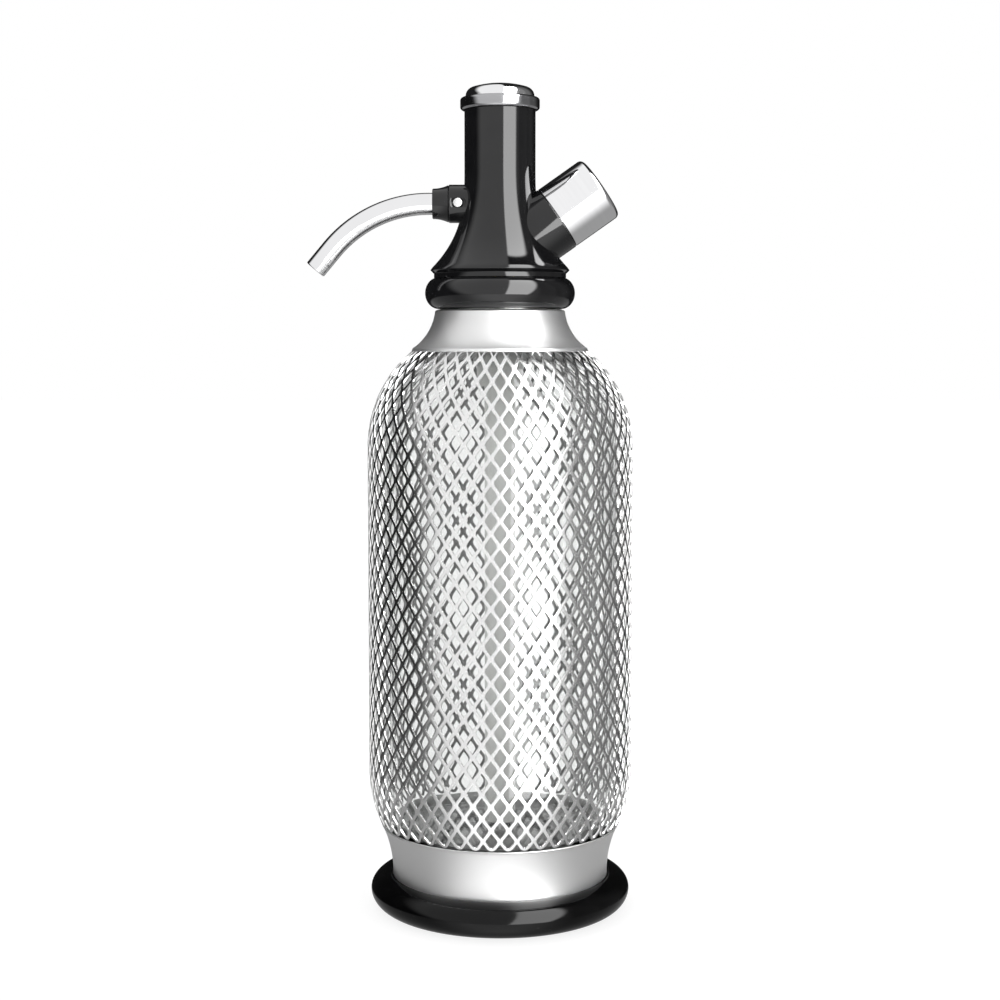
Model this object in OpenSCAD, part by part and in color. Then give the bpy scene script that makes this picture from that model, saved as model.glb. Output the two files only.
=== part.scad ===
// Soda siphon: a glass bottle in an expanded-metal sleeve, with a push-button head,
// a bent spout and a charging port at the side. Z is up, the origin is on the
// bottle's axis at the underside of the foot, the spout points along -X and the
// charging port leans up along +X.

/* [Overall] */
// Height from the underside of the foot to the top of the button
overall_h = 321; // [316:0.5:330]
// Diameter of the body over the mesh sleeve
body_d = 103; // [100:0.5:106]

/* [Body outline] */
// Height where the straight wall starts
wall_low_z = 55; // [52:0.5:60]
// Radius of the shoulder's curve over the sleeve
shoulder_arc_r = 48; // [47:0.5:49]
// Radius of the heel's curve over the sleeve
heel_arc_r = 50; // [48:0.5:52]
// Radius of the sleeve's top edge
shoulder_end_r = 35.7; // [34.8:0.1:36.6]
// Height of the sleeve's bottom edge below the straight wall
heel_drop = 20.4; // [19:0.2:21.4]

/* [Mesh sleeve] */
// Strands of each hand round the sleeve
strand_count = 48; // [40:1:52]
// Height of a diamond on the straight wall, between the strands' middle lines
diamond_h = 9.2; // [8.4:0.1:10]
// Depth of the lowest crossings below the sleeve's bottom edge
loop_drop = 1.28; // [0:0.02:2]
// Width of a strand
strand_w = 1.3; // [0.8:0.1:1.5]
// Thickness of a strand
strand_t = 0.5; // [0.4:0.05:0.6]
// Height of the hem at each end of the sleeve
hem_h = 0.9; // [0.6:0.1:1.2]
// Space between the sleeve and the glass
sleeve_gap = 0.4; // [0.35:0.05:0.6]

/* [Glass bottle] */
// Thickness of the glass wall
glass_wall = 4.5; // [3.5:0.25:5.5]
// Thickness of the glass bottom
glass_floor = 7.5; // [6:0.5:9]
// Height of the underside of the glass
glass_low_z = 23.2; // [22.4:0.2:25]
// Radius of the bottle's bottom corner
glass_corner_r = 14; // [12:0.5:15]
// Radius of the glass neck
neck_r = 16.5; // [15.5:0.25:17]
// Radius of the curve from shoulder to neck
neck_fillet_r = 6; // [5:0.5:6.5]
// Radius of the bead at the mouth
bead_r = 17.8; // [17.5:0.1:18]
// Height of the bead at the mouth
bead_h = 2.8; // [2:0.2:3.2]

/* [Neck collar] */
// Step from the sleeve in to the collar's lower edge
collar_inset = 0.2; // [0:0.1:0.6]
// Radius of the collar's top edge
collar_top_r = 25; // [24.6:0.1:25.4]
// Height of the collar's top edge above the start of the straight neck
neck_grip_h = 4.08; // [3.8:0.02:4.6]
// Height of the collar's straight lower edge
collar_skirt_h = 1.1; // [0.6:0.1:1.6]
// Thickness of the collar's sheet
collar_t = 0.8; // [0.6:0.1:1]

/* [Neck ring] */
// Radius over the thread on the neck ring
thread_r = 21.5; // [21:0.1:21.8]
// Height of the neck ring above the collar
ring_rise = 7; // [6.6:0.1:7.2]
// Thickness of the flange that carries the collar
ring_flange_t = 1.8; // [1.2:0.2:2.2]
// Radius of the flange that carries the collar
ring_flange_r = 23.6; // [22.8:0.1:23.7]

/* [Base] */
// Step from the body in to the foot ring
foot_step = 0.5; // [0:0.1:1.5]
// Height of the foot ring
foot_h = 15; // [13:0.5:16]
// Width of the foot ring's underside inside the band
foot_ledge = 8.3; // [7:0.1:9]
// Thickness of the foot ring under the seat
foot_web = 3; // [2.4:0.2:3.6]
// Swell of the foot ring outside the band
foot_bulge = 8.7; // [8.2:0.1:9]
// Height of the band's flared part
band_flare_h = 20; // [18:0.5:20.2]
// Thickness of the band's sheet
band_t = 0.8; // [0.6:0.1:1]
// Thickness of the rubber pad under the glass
pad_t = 2; // [1.5:0.1:2.4]
// Step from the foot ring's underside in to the rubber pad
pad_step = 6; // [5:0.5:10]

/* [Tubes in the bottle] */
// Outer radius of the riser tube
riser_r = 6; // [5.6:0.1:6.2]
// Wall of the riser tube
riser_wall = 1.1; // [0.9:0.1:1.3]
// Space between the riser tube and the glass bottom
riser_end_gap = 3; // [2:0.5:6]
// Outer radius of the measuring tube
measure_r = 9; // [8.6:0.1:9.2]
// Wall of the measuring tube
measure_wall = 1.2; // [1:0.1:1.4]
// Length of the measuring tube
measure_l = 38; // [30:1:50]
// Thickness of the flange that carries both tubes
flange_t = 1.5; // [1.2:0.1:1.8]
// Thickness of the rubber ring on the mouth
mouth_seal_t = 1; // [0.8:0.1:1.2]

/* [Coupling nut] */
// Radius of the nut over its bead
nut_r = 28.95; // [28:0.1:30]
// Height of the nut
nut_h = 11.55; // [11.2:0.05:12]
// Thickness of the lip that holds the head
nut_lip_t = 1.5; // [1.2:0.1:1.6]

/* [Head] */
// Height of the head from its rim to the top of the button
head_h = 70.65; // [69:0.05:72]
// Radius of the column
column_r = 13.65; // [13.4:0.05:14]
// Radius of the flare's rim
rim_r = 26.8; // [26.2:0.1:27.4]
// Radius of the band under the rim
rim_band_r = 25.5; // [24.8:0.1:25.9]
// Height of the band under the rim
rim_band_h = 2; // [1.4:0.1:2.4]
// Height of the rim above the head's underside
rim_rise = 3.5; // [3:0.1:4]
// Height of the flare
flare_h = 39; // [37:0.2:41]
// Power of the flare's curve
flare_power = 3; // [2.6:0.1:3.4]

/* [Spigot] */
// Radius of the spigot in the head
spigot_r = 19.2; // [18.8:0.1:19.4]
// Height of the spigot above the head's underside
spigot_rise = 9.3; // [9:0.1:9.8]
// Radius of the spigot's flange
spigot_flange_r = 20.9; // [20.6:0.1:21.2]
// Depth of the riser tube in the spigot
riser_socket = 6; // [5:0.2:6.4]

/* [Dispensing valve] */
// Radius of the valve washer
washer_r = 5.6; // [5.2:0.1:5.8]
// Thickness of the valve washer
washer_t = 3.2; // [2.6:0.1:3.4]
// Radius of the hole in the valve seat
seat_hole_r = 3.4; // [3:0.1:3.6]
// Radius of the valve seat
seat_r = 7.2; // [7:0.1:7.4]
// Thickness of the valve seat
seat_t = 4; // [3.4:0.1:4.2]
// Radius of the valve stem
stem_r = 2; // [1.8:0.05:2.1]
// Radius of the outlet chamber above the seat
outlet_r = 4.6; // [4.2:0.1:5]

/* [Button] */
// Radius of the button's dome
button_r = 13.2; // [13:0.05:13.3]
// Height of the dome above the bezel
dome_h = 5.4; // [5:0.1:5.6]
// Radius of the dome's rounded edge
dome_edge_r = 3.4; // [3:0.1:3.6]
// Height of the crown on top of the dome
crown_h = 1.4; // [1:0.1:1.6]
// Travel of the button
button_travel = 3.5; // [3:0.1:3.6]

/* [Bezel] */
// Radius of the bezel ring
bezel_r = 15.25; // [14.9:0.05:15.8]
// Height of the bezel ring
bezel_h = 4.7; // [4.6:0.1:5.2]
// Radius of the bezel's rounded edges
bezel_edge_r = 1.1; // [0.8:0.1:1.3]
// Depth of the bezel's sleeve in the column
bezel_sleeve_l = 8.5; // [7:0.5:10]

/* [Spring] */
// Radius of the spring to the middle of its wire
spring_r = 7.6; // [7.2:0.1:8]
// Radius of the spring's wire
spring_wire_r = 0.65; // [0.55:0.05:0.8]
// Turns of the spring
spring_turns = 5; // [4:1:6]

/* [Spout] */
// Height of the spout's axis above the rim
spout_rise = 25.05; // [24:0.05:26]
// Outer radius of the spout tube
spout_r = 4.2; // [4:0.05:4.3]
// Wall of the spout tube
spout_wall = 0.9; // [0.7:0.1:1]
// Distance from the bottle's axis to the start of the bend
bend_start = 27.4; // [26.6:0.2:30]
// Radius of the bend
bend_r = 49; // [40:1:60]
// Angle of the bend
bend_angle = 50; // [40:1:60]
// Straight length at the spout's end
spout_end_l = 10; // [6:0.5:14]

/* [Spout boss] */
// Radius of the boss
boss_r = 7.3; // [7.1:0.05:7.6]
// Distance from the bottle's axis to the face of the boss
boss_reach = 19.65; // [19:0.05:20.5]
// Length of the ferrule outside the boss
ferrule_l = 5.9; // [5:0.1:7]
// Radius of the ferrule's outer end
ferrule_end_r = 5.8; // [5.4:0.1:6.2]
// Radius of the ferrule inside the boss
ferrule_r = 5.6; // [5.4:0.05:5.8]
// Distance from the bottle's axis to the ferrule's inner end
ferrule_in = 9.4; // [9:0.1:10]
// Distance from the bottle's axis to the pins
pin_reach = 16.2; // [15.4:0.1:16.6]
// Radius of the pins
pin_r = 1.65; // [1.4:0.05:1.8]

/* [Charging port] */
// Lean of the port above the horizontal
port_lean = 35; // [33:0.5:37]
// Height above the rim where the port's axis meets the bottle's axis
port_rise = 4.2; // [3.8:0.1:4.8]
// Radius of the stub on the head
stub_r = 13.1; // [13:0.05:13.3]
// Distance along the port's axis to the stub's end
stub_reach = 26.7; // [26.2:0.1:27.4]
// Distance along the port's axis to the port's inner end
port_in = 18; // [17.6:0.1:18.6]
// Radius of the port over its thread
port_r = 9.5; // [9.2:0.05:9.7]
// Radius of the port's bore
port_bore_r = 6.6; // [6.2:0.1:7]
// Thickness of the port's inner wall
port_floor = 4.6; // [4:0.2:5]
// Length of the port outside the stub
port_l = 14.2; // [13:0.2:15]

/* [Port cap] */
// Radius of the cap
cap_r = 13; // [12.8:0.05:13.1]
// Length of the cap
cap_l = 20.4; // [19.4:0.1:22]
// Radius of the cap's rounded edge
cap_edge_r = 2; // [1.4:0.1:2.4]
// Thickness of the rubber disc in the cap
cap_seal_t = 2; // [1.5:0.1:2.4]

/* [Hidden] */
$fn = 96;

// Clearances
slip = 0.05;      // between fixed pieces that fit together
run = 0.08;       // radial, between pieces that turn or slide
face_gap = 0.15;  // between faces that move apart
cut = 1;          // overrun of every cut

// Fineness of the curves, in points
arc_steps = 10;
flare_steps = 16;

// Small sizes of the bottle, the collar and the sleeve
bead_lift = 0.4;         // height of the mouth above the neck ring
bead_edge_r = 0.9;       // radius of the edges of the bead at the mouth
punt_r = 22;             // radius of the hollow under the bottle
punt_h = 2;              // height of the hollow under the bottle
collar_edge_r = 0.7;     // radius of the collar's top edge
collar_arc_lift = 1.5;   // height of the hollow curve's centre above the collar
layer_gap = 0.12;        // between the two layers of strands
ring_chamfer = 0.5;      // chamfer at the ends of the neck ring
foot_lip_drop = 1.2;     // depth of the foot ring's inner lip below its top
seat_gap = 0.3;          // between the seat and the glass
seat_rise = 4;           // height of the seat's edge above the underside of the glass
seat_hollow_h = 14;      // height of the hollow under the seat

// Small sizes of the head
rim_edge = 0.4;          // height of the flare's rim
bezel_lap = 0.3;         // height of the column inside the bezel
bezel_web = 0.5;         // thickness of the web between the bezel and its sleeve
bezel_sleeve_t = 0.95;   // wall of the bezel's sleeve
spring_bore_r = 12;      // radius of the column's bore round the spring
chamber_r = 6.6;         // radius of the valve chamber in the spigot
chamber_drop = 4.6;      // depth of the valve chamber in the spigot
valve_seat_rise = 5.8;   // height of the valve seat above the spigot
seat_lip_h = 0.6;        // height of the seat's lip
seat_lip_t = 0.9;        // width of the seat's lip
stem_foot_t = 1.7;       // thickness of the stem's foot under the washer
stem_foot_r = 4.4;       // radius of the stem's foot
stem_collar_r = 2.9;     // radius of the stem's collar over the washer
stem_collar_t = 1;       // thickness of the stem's collar
outlet_rise = 4.8;       // height of the outlet chamber above the spout's axis
seal_ledge = 1.2;        // thickness of the ledge under the stem seal
seal_pocket_h = 2.6;     // height of the stem seal's pocket
seal_wire_r = 1.05;      // radius of the stem seal's section
guide_r = 8;             // radius of the stem guide
guide_h = 8;             // height of the stem guide
guide_flange_r = 9.4;    // radius of the guide's flange
guide_flange_t = 2;      // thickness of the guide's flange
button_skirt_l = 10.3;   // length of the button's guiding skirt
button_skirt_t = 1.3;    // wall of the button's guiding skirt
button_top_t = 4;        // thickness of the button under its crown
button_hub_r = 3.6;      // radius of the hub that holds the stem
button_hub_l = 7.4;      // length of the hub that holds the stem
button_hub_floor = 0.6;  // depth of the stem's end above the button's underside
duct_x = 10.5;           // distance of the gas way from the bottle's axis
duct_r = 1;              // radius of the gas way
stub_root = 12;          // distance along the port's axis to the stub's inner end
gas_hole_r = 0.9;        // radius of the gas holes in the tubes' flange
gas_holes = 6;           // number of the gas holes
groove_depth = 1;        // depth of the gas groove over those holes
check_r = 2.15;          // radius of the check valve
check_l = 2.4;           // length of the check valve
check_bore_r = 0.4;      // radius of the slit in the check valve
flange_inset = 0.2;      // step from the glass bead in to the tubes' flange
hub_drop = 4;            // length of the hub under the tubes' flange
riser_seal_r = 0.55;     // radius of the riser seal's section
riser_seal_rise = 2.4;   // height of the riser seal above the tubes' flange
ferrule_lip_r = 3.3;     // radius of the way through the ferrule
ferrule_lip_l = 3.4;     // length of the ferrule behind the tube
spout_seal_r = 0.52;     // radius of the spout seal's section
spout_seal_in = 1.6;     // distance of the spout seal from the ferrule's inner end
pin_crown = 0.35;        // height of the pins' crown over the boss
pin_depth = 3;           // depth of the pins in the boss
pin_hub_r = 2.4;         // radius of the piercing pin's hub
needle_r = 1.2;          // radius of the piercing pin's needle
needle_l = 5;            // length of the piercing pin's needle
needle_tip = 1.8;        // length of the needle's point
needle_bore_r = 0.4;     // radius of the way through the needle
needle_in = 0.6;         // distance of the hub from the port's inner end
charger_seal_t = 2;      // thickness of the rubber ring round the needle
nose_chamfer = 0.6;      // chamfer at the mouth of the port and of the cap
nut_bulge = 5.3;         // swell of the nut's bead
nut_bead_half = 6.1;     // half height of the nut's bead where it isn't cut off

// Outline of the body
body_r = body_d / 2;
shoulder_c = body_r - shoulder_arc_r;
heel_c = body_r - heel_arc_r;
sleeve_t = 2 * strand_t + layer_gap;
glass_in = sleeve_t + sleeve_gap;
shoulder_out_r = shoulder_arc_r - glass_in;
heel_out_r = heel_arc_r - glass_in;
shoulder_rise = sqrt(pow(shoulder_arc_r, 2) - pow(shoulder_end_r - shoulder_c, 2));
neck_c = neck_r + neck_fillet_r;
neck_rise = sqrt(pow(shoulder_out_r + neck_fillet_r, 2) - pow(neck_c - shoulder_c, 2));
foot_r = body_r - foot_step;
band_low_r = foot_r - foot_bulge;
foot_in_r = band_low_r - foot_ledge;
pad_r = foot_in_r - pad_step;

// Heights from the foot; the straight wall takes up what the other pieces leave
rim_z = overall_h - head_h;
head_low_z = rim_z - rim_rise;
nut_top_z = head_low_z - face_gap;
nut_low_z = nut_top_z - nut_h;
collar_top_z = nut_low_z - face_gap;
ring_top_z = collar_top_z + ring_rise;
mouth_z = ring_top_z + bead_lift;
neck_c_z = collar_top_z - neck_grip_h;
wall_high_z = neck_c_z - neck_rise;
wall_h = wall_high_z - wall_low_z;
sleeve_top_z = wall_high_z + shoulder_rise;
sleeve_low_z = wall_low_z - heel_drop;
collar_low_z = sleeve_top_z + hem_h + face_gap;
flare_top_z = rim_z + flare_h;
bezel_top_z = overall_h - dome_h;
bezel_low_z = bezel_top_z - bezel_h;
column_top_z = bezel_low_z + bezel_lap;
spout_z = rim_z + spout_rise;
port_z = rim_z + port_rise;

// Radius of the shoulder or heel curve at height z, drawn in by depth
function body_at(z, depth) =
    z > wall_high_z ? shoulder_c + sqrt(pow(shoulder_arc_r - depth, 2) - pow(z - wall_high_z, 2)) :
    z < wall_low_z ? heel_c + sqrt(pow(heel_arc_r - depth, 2) - pow(wall_low_z - z, 2)) :
    body_r - depth;

// Points of an arc about [cx, cy] from angle a to angle b
function arc(cx, cy, r, a, b, n = arc_steps) =
    [for (i = [0:n]) let (t = a + (b - a) * i / n) [cx + r * cos(t), cy + r * sin(t)]];

// Points of an ellipse's arc about [cx, cy]
function oval(cx, cy, rx, ry, a, b, n = arc_steps) =
    [for (i = [0:n]) let (t = a + (b - a) * i / n) [cx + rx * cos(t), cy + ry * sin(t)]];

// A solid of revolution from an outline of [radius, height] points
module turned(outline) {
    rotate_extrude() polygon(outline);
}

// A plain tube between two heights
module pipe(outer, inner, low, high) {
    translate([0, 0, low]) difference() {
        cylinder(r = outer, h = high - low);
        translate([0, 0, -cut]) cylinder(r = inner, h = high - low + 2 * cut);
    }
}

// A rod between two heights
module rod(r, low, high) {
    translate([0, 0, low]) cylinder(r = r, h = high - low);
}

// Frame of the charging port: Z runs outwards along its axis
module on_port() {
    translate([0, 0, port_z]) rotate([0, 90 - port_lean, 0]) children();
}

// Frame of the spout: Z runs outwards along its straight part
module on_spout() {
    translate([0, 0, spout_z]) rotate([0, -90, 0]) children();
}

// Glass bottle
neck_turn = atan2(neck_c_z - wall_high_z, neck_c - shoulder_c);
neck_bore_r = neck_r - glass_wall;
bead_low_z = mouth_z - bead_h;
// The heel's curve hands over to the corner where both have the same tangent
corner_c_z = glass_low_z + glass_corner_r;
corner_turn = asin((wall_low_z - corner_c_z) / (heel_out_r - glass_corner_r));
corner_c = heel_c + (heel_out_r - glass_corner_r) * cos(corner_turn);
glass_floor_z = glass_low_z + glass_floor;
inner_corner_r = glass_corner_r - glass_wall;
inner_corner_z = glass_floor_z + inner_corner_r;
inner_heel_r = heel_out_r - glass_wall;
inner_turn = asin((wall_low_z - inner_corner_z) / (inner_heel_r - inner_corner_r));
inner_corner_c = heel_c + (inner_heel_r - inner_corner_r) * cos(inner_turn);
punt_arc_r = (pow(punt_r, 2) + pow(punt_h, 2)) / (2 * punt_h);
punt_turn = asin(punt_r / punt_arc_r);

module glass_bottle() {
    color([0.86, 0.90, 0.90, 0.5]) turned(concat(
        arc(0, glass_low_z + punt_h - punt_arc_r, punt_arc_r, 90, 90 - punt_turn, 6),
        arc(corner_c, corner_c_z, glass_corner_r, -90, -corner_turn),
        arc(heel_c, wall_low_z, heel_out_r, -corner_turn, 0),
        arc(shoulder_c, wall_high_z, shoulder_out_r, 0, neck_turn),
        arc(neck_c, neck_c_z, neck_fillet_r, 180 + neck_turn, 180),
        [[neck_r, bead_low_z]],
        arc(bead_r - bead_edge_r, bead_low_z + bead_edge_r, bead_edge_r, -90, 0, 4),
        arc(bead_r - bead_edge_r, mouth_z - bead_edge_r, bead_edge_r, 0, 90, 4),
        [[neck_bore_r, mouth_z]],
        arc(neck_c, neck_c_z, neck_fillet_r + glass_wall, 180, 180 + neck_turn),
        arc(shoulder_c, wall_high_z, shoulder_out_r - glass_wall, neck_turn, 0),
        arc(heel_c, wall_low_z, inner_heel_r, 0, -inner_turn),
        arc(inner_corner_c, inner_corner_z, inner_corner_r, -inner_turn, -90),
        [[0, glass_floor_z]]));
}

// Mesh sleeve: strands of both hands climb the sleeve in two layers and cross in diamonds.
// A station is a distance along the sleeve's outline from its bottom edge. Where the body
// narrows, the diamonds get taller and keep their area, as in a sheet that is drawn in.
heel_sweep = asin(heel_drop / heel_arc_r);
shoulder_sweep = asin(shoulder_rise / shoulder_arc_r);
heel_run = heel_arc_r * heel_sweep * PI / 180;
shoulder_run = shoulder_arc_r * shoulder_sweep * PI / 180;
sleeve_run = heel_run + wall_h + shoulder_run;
heel_spans = 2;
wall_spans = 9;
shoulder_spans = 5;
stations = concat(
    [for (i = [0:heel_spans - 1]) heel_run * i / heel_spans],
    [for (i = [0:wall_spans - 1]) heel_run + wall_h * i / wall_spans],
    [for (i = [0:shoulder_spans]) heel_run + wall_h + shoulder_run * i / shoulder_spans]);
half_pitch = 180 / strand_count;
strand_slope = atan(body_r * half_pitch * PI / 180 / (diamond_h / 2));
strand_across = strand_w / cos(strand_slope);

// Point of the sleeve's outline at a station, drawn in by depth
function outline_at(s, depth) =
    s < heel_run ?
        let (a = heel_sweep * (s / heel_run - 1))
        [heel_c + (heel_arc_r - depth) * cos(a), wall_low_z + (heel_arc_r - depth) * sin(a)] :
    s <= heel_run + wall_h ? [body_r - depth, wall_low_z + s - heel_run] :
        let (a = shoulder_sweep * (s - heel_run - wall_h) / shoulder_run)
        [shoulder_c + (shoulder_arc_r - depth) * cos(a), wall_high_z + (shoulder_arc_r - depth) * sin(a)];

// Area that the outline sweeps up to a station, for each radian of turn
function swept(s) =
    let (low = min(s - heel_run, 0) / heel_arc_r * 180 / PI,
         high = max(s - heel_run - wall_h, 0) / shoulder_arc_r * 180 / PI,
         wall = min(max(s - heel_run, 0), wall_h))
    heel_c * min(s, heel_run) + pow(heel_arc_r, 2) * (sin(low) + sin(heel_sweep)) + body_r * wall +
    shoulder_c * max(s - heel_run - wall_h, 0) + pow(shoulder_arc_r, 2) * sin(high);

// Turn of a strand up to a station: half a pitch for each half diamond's share of that area
function strand_turn(s) =
    half_pitch * (swept(s) + loop_drop * outline_at(0, 0)[0]) / (body_r * diamond_h / 2);

// Point at a station and an angle round the sleeve, moved sideways by half a strand or not
function strand_point(s, turn, side, depth) =
    let (p = outline_at(s, depth), a = turn + side * strand_across / 2 / p[0] * 180 / PI)
    [p[0] * cos(a), p[0] * sin(a), p[1]];

// Three points of a strand at a station: two outer corners and the inner edge
function strand_section(hand, i, s) =
    let (depth = hand > 0 ? 0 : strand_t + layer_gap,
         turn = 360 * (i + 1 / 2) / strand_count + hand * strand_turn(s))
    [strand_point(s, turn, -1, depth), strand_point(s, turn, 1, depth),
     strand_point(s, turn, 0, depth + strand_t)];

// Faces of a strand whose points start at index b; the flat side folds inwards
function strand_faces(b, hand) =
    let (last = len(stations) - 1)
    concat([[b, b + 1, b + 2]],
           [for (j = [0:last - 1]) let (p = b + 3 * j, q = p + 3)
               each concat(hand > 0 ? [[p, q, p + 1], [p + 1, q, q + 1]]
                                    : [[p, q, q + 1], [p, q + 1, p + 1]],
                           [[p + 1, q + 1, q + 2], [p + 1, q + 2, p + 2],
                            [p + 2, q + 2, q], [p + 2, q, p]])],
           [let (q = b + 3 * last) [q, q + 2, q + 1]]);

// Hem: a closed hoop of strand_count flats that follows the body's outline
function hem_points(low, high) =
    let (corners = [[body_at(low, 0), low], [body_at(high, 0), high],
                    [body_at(high, 0) - sleeve_t, high], [body_at(low, 0) - sleeve_t, low]])
    [for (i = [0:strand_count - 1], p = corners)
        let (a = 360 * i / strand_count) [p[0] * cos(a), p[0] * sin(a), p[1]]];
function hem_faces(b) =
    [for (i = [0:strand_count - 1], k = [0:3])
        let (p = b + 4 * i, q = b + 4 * ((i + 1) % strand_count), m = (k + 1) % 4)
        each [[p + k, p + m, q + m], [p + k, q + m, q + k]]];

module mesh_sleeve() {
    strand_points = [for (hand = [1, -1], i = [0:strand_count - 1], s = stations)
        each strand_section(hand, i, s)];
    strand_size = 3 * len(stations);
    hem_start = len(strand_points);
    low_hem = hem_points(sleeve_low_z - hem_h, sleeve_low_z - slip);
    high_hem = hem_points(sleeve_top_z + slip, sleeve_top_z + hem_h);
    color([0.75, 0.76, 0.77]) polyhedron(
        concat(strand_points, low_hem, high_hem),
        concat([for (h = [0, 1], i = [0:strand_count - 1])
                    each strand_faces((h * strand_count + i) * strand_size, 1 - 2 * h)],
               hem_faces(hem_start), hem_faces(hem_start + 4 * strand_count)));
}

// Neck collar: spun sheet that hides the sleeve's top edge and the glass shoulder
collar_low_r = body_at(collar_low_z, collar_inset);
collar_spread = collar_low_r - collar_top_r;
collar_arc_h = collar_top_z + collar_arc_lift - collar_low_z - collar_skirt_h;
collar_arc_r = (pow(collar_arc_h, 2) + pow(collar_spread, 2)) / (2 * collar_spread);
collar_c = collar_top_r + collar_arc_r;
collar_c_z = collar_top_z + collar_arc_lift;
collar_turn = acos((collar_c - collar_low_r) / collar_arc_r);
// The hollow curve starts where it passes the foot of the rounded top edge
collar_start = asin((collar_arc_lift + collar_edge_r) / collar_arc_r);
collar_start_r = collar_c - collar_arc_r * cos(collar_start);

module neck_collar() {
    color([0.78, 0.78, 0.78]) turned(concat(
        [[collar_low_r, collar_low_z]],
        arc(collar_c, collar_c_z, collar_arc_r, 180 + collar_turn, 180 + collar_start, 12),
        arc(collar_start_r - collar_edge_r, collar_top_z - collar_edge_r, collar_edge_r, 0, 90, 4),
        [[thread_r + slip, collar_top_z], [thread_r + slip, collar_top_z - collar_t]],
        [[collar_start_r - collar_t, collar_top_z - collar_t]],
        arc(collar_c, collar_c_z, collar_arc_r + collar_t, 180 + collar_start, 180 + collar_turn, 12),
        [[collar_low_r - collar_t, collar_low_z]]));
}

// Neck ring: grips the glass neck under its bead, carries the collar and the nut's thread
ring_flange_top_z = collar_top_z - collar_t - slip;
ring_low_z = neck_c_z + face_gap;

module neck_thread_ring() {
    color([0.72, 0.72, 0.70]) turned([
        [neck_r + slip, ring_low_z],
        [thread_r - ring_chamfer, ring_low_z],
        [thread_r, ring_flange_top_z - ring_flange_t],
        [ring_flange_r, ring_flange_top_z - ring_flange_t],
        [ring_flange_r, ring_flange_top_z],
        [thread_r, ring_flange_top_z],
        [thread_r, ring_top_z - ring_chamfer],
        [thread_r - ring_chamfer, ring_top_z],
        [bead_r + slip, ring_top_z],
        [bead_r + slip, bead_low_z - slip],
        [neck_r + slip, bead_low_z - slip]]);
}

// Band: spun sheet round the foot of the bottle, flared to meet the sleeve
band_top_z = sleeve_low_z - hem_h - face_gap;
band_arc_low_z = band_top_z - band_flare_h;
band_top_r = body_at(band_top_z, 0);
band_spread = band_top_r - band_low_r;
band_arc_r = (pow(band_flare_h, 2) + pow(band_spread, 2)) / (2 * band_spread);
band_turn = asin(band_flare_h / band_arc_r);
band_in_turn = asin(band_flare_h / (band_arc_r + band_t));
band_c = band_low_r + band_arc_r;

module base_band() {
    color([0.78, 0.78, 0.78]) turned(concat(
        [[band_low_r, foot_web]],
        arc(band_c, band_arc_low_z, band_arc_r, 180, 180 - band_turn),
        arc(band_c, band_arc_low_z, band_arc_r + band_t, 180 - band_in_turn, 180),
        [[band_low_r - band_t, foot_web]]));
}

// Foot ring: a bulged ring with a flat underside, round the band and under the seat
module foot_ring() {
    color([0.06, 0.06, 0.06]) turned(concat(
        [[foot_in_r, 0]],
        oval(band_low_r, foot_h / 2, foot_bulge, foot_h / 2, -90, 83, 18),
        [[band_low_r + slip, foot_h - foot_lip_drop], [band_low_r + slip, foot_web - slip],
         [foot_in_r, foot_web - slip]]));
}

// Seat: a moulded cradle between the band and the glass
seat_out_r = band_low_r - band_t - slip;
seat_corner_r = glass_corner_r + seat_gap;
seat_top_z = glass_low_z + seat_rise;
seat_floor_z = glass_low_z - pad_t - slip;
seat_band_r = band_arc_r + band_t + slip;
seat_band_turn = asin((seat_top_z - band_arc_low_z) / seat_band_r);
seat_dish_turn = asin((corner_c_z - seat_top_z) / seat_corner_r);

module bottle_seat() {
    color([0.60, 0.60, 0.60]) turned(concat(
        [[0, foot_web + seat_hollow_h], [foot_in_r, foot_web + seat_hollow_h],
         [foot_in_r, foot_web + slip], [seat_out_r, foot_web + slip]],
        arc(band_c, band_arc_low_z, seat_band_r, 180, 180 - seat_band_turn),
        arc(corner_c, corner_c_z, seat_corner_r, -seat_dish_turn, -90, 8),
        [[pad_r + slip, glass_low_z - seat_gap], [pad_r + slip, seat_floor_z], [0, seat_floor_z]]));
}

module base_pad() {
    color([0.55, 0.55, 0.54]) rod(pad_r, glass_low_z - pad_t, glass_low_z);
}

// Tubes in the bottle, hung from a flange on the mouth of the glass
flange_r = bead_r - flange_inset;
flange_low_z = mouth_z + mouth_seal_t;
riser_top_z = flange_low_z + riser_socket;
riser_seal_z = flange_low_z + flange_t + riser_seal_rise;
measure_in_r = measure_r - measure_wall;

module bottle_seal() {
    color([0.15, 0.15, 0.15]) pipe(flange_r, neck_bore_r + flange_inset, mouth_z, flange_low_z);
}

module insert_flange() {
    color([0.92, 0.92, 0.90]) difference() {
        union() {
            rod(flange_r, flange_low_z, flange_low_z + flange_t);
            rod(measure_in_r - slip, flange_low_z - hub_drop, flange_low_z);
        }
        rod(riser_r + slip, flange_low_z - hub_drop - cut, flange_low_z + flange_t + cut);
        for (i = [0:gas_holes - 1]) rotate([0, 0, 360 * i / gas_holes]) translate([duct_x, 0, 0])
            rod(gas_hole_r, flange_low_z - cut, flange_low_z + flange_t + cut);
    }
}

module riser_tube() {
    color([0.90, 0.90, 0.88])
        pipe(riser_r, riser_r - riser_wall, glass_floor_z + riser_end_gap, riser_top_z);
}

module measuring_tube() {
    color([0.90, 0.90, 0.88])
        pipe(measure_r, measure_in_r, flange_low_z - slip - measure_l, flange_low_z - slip);
}

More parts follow.
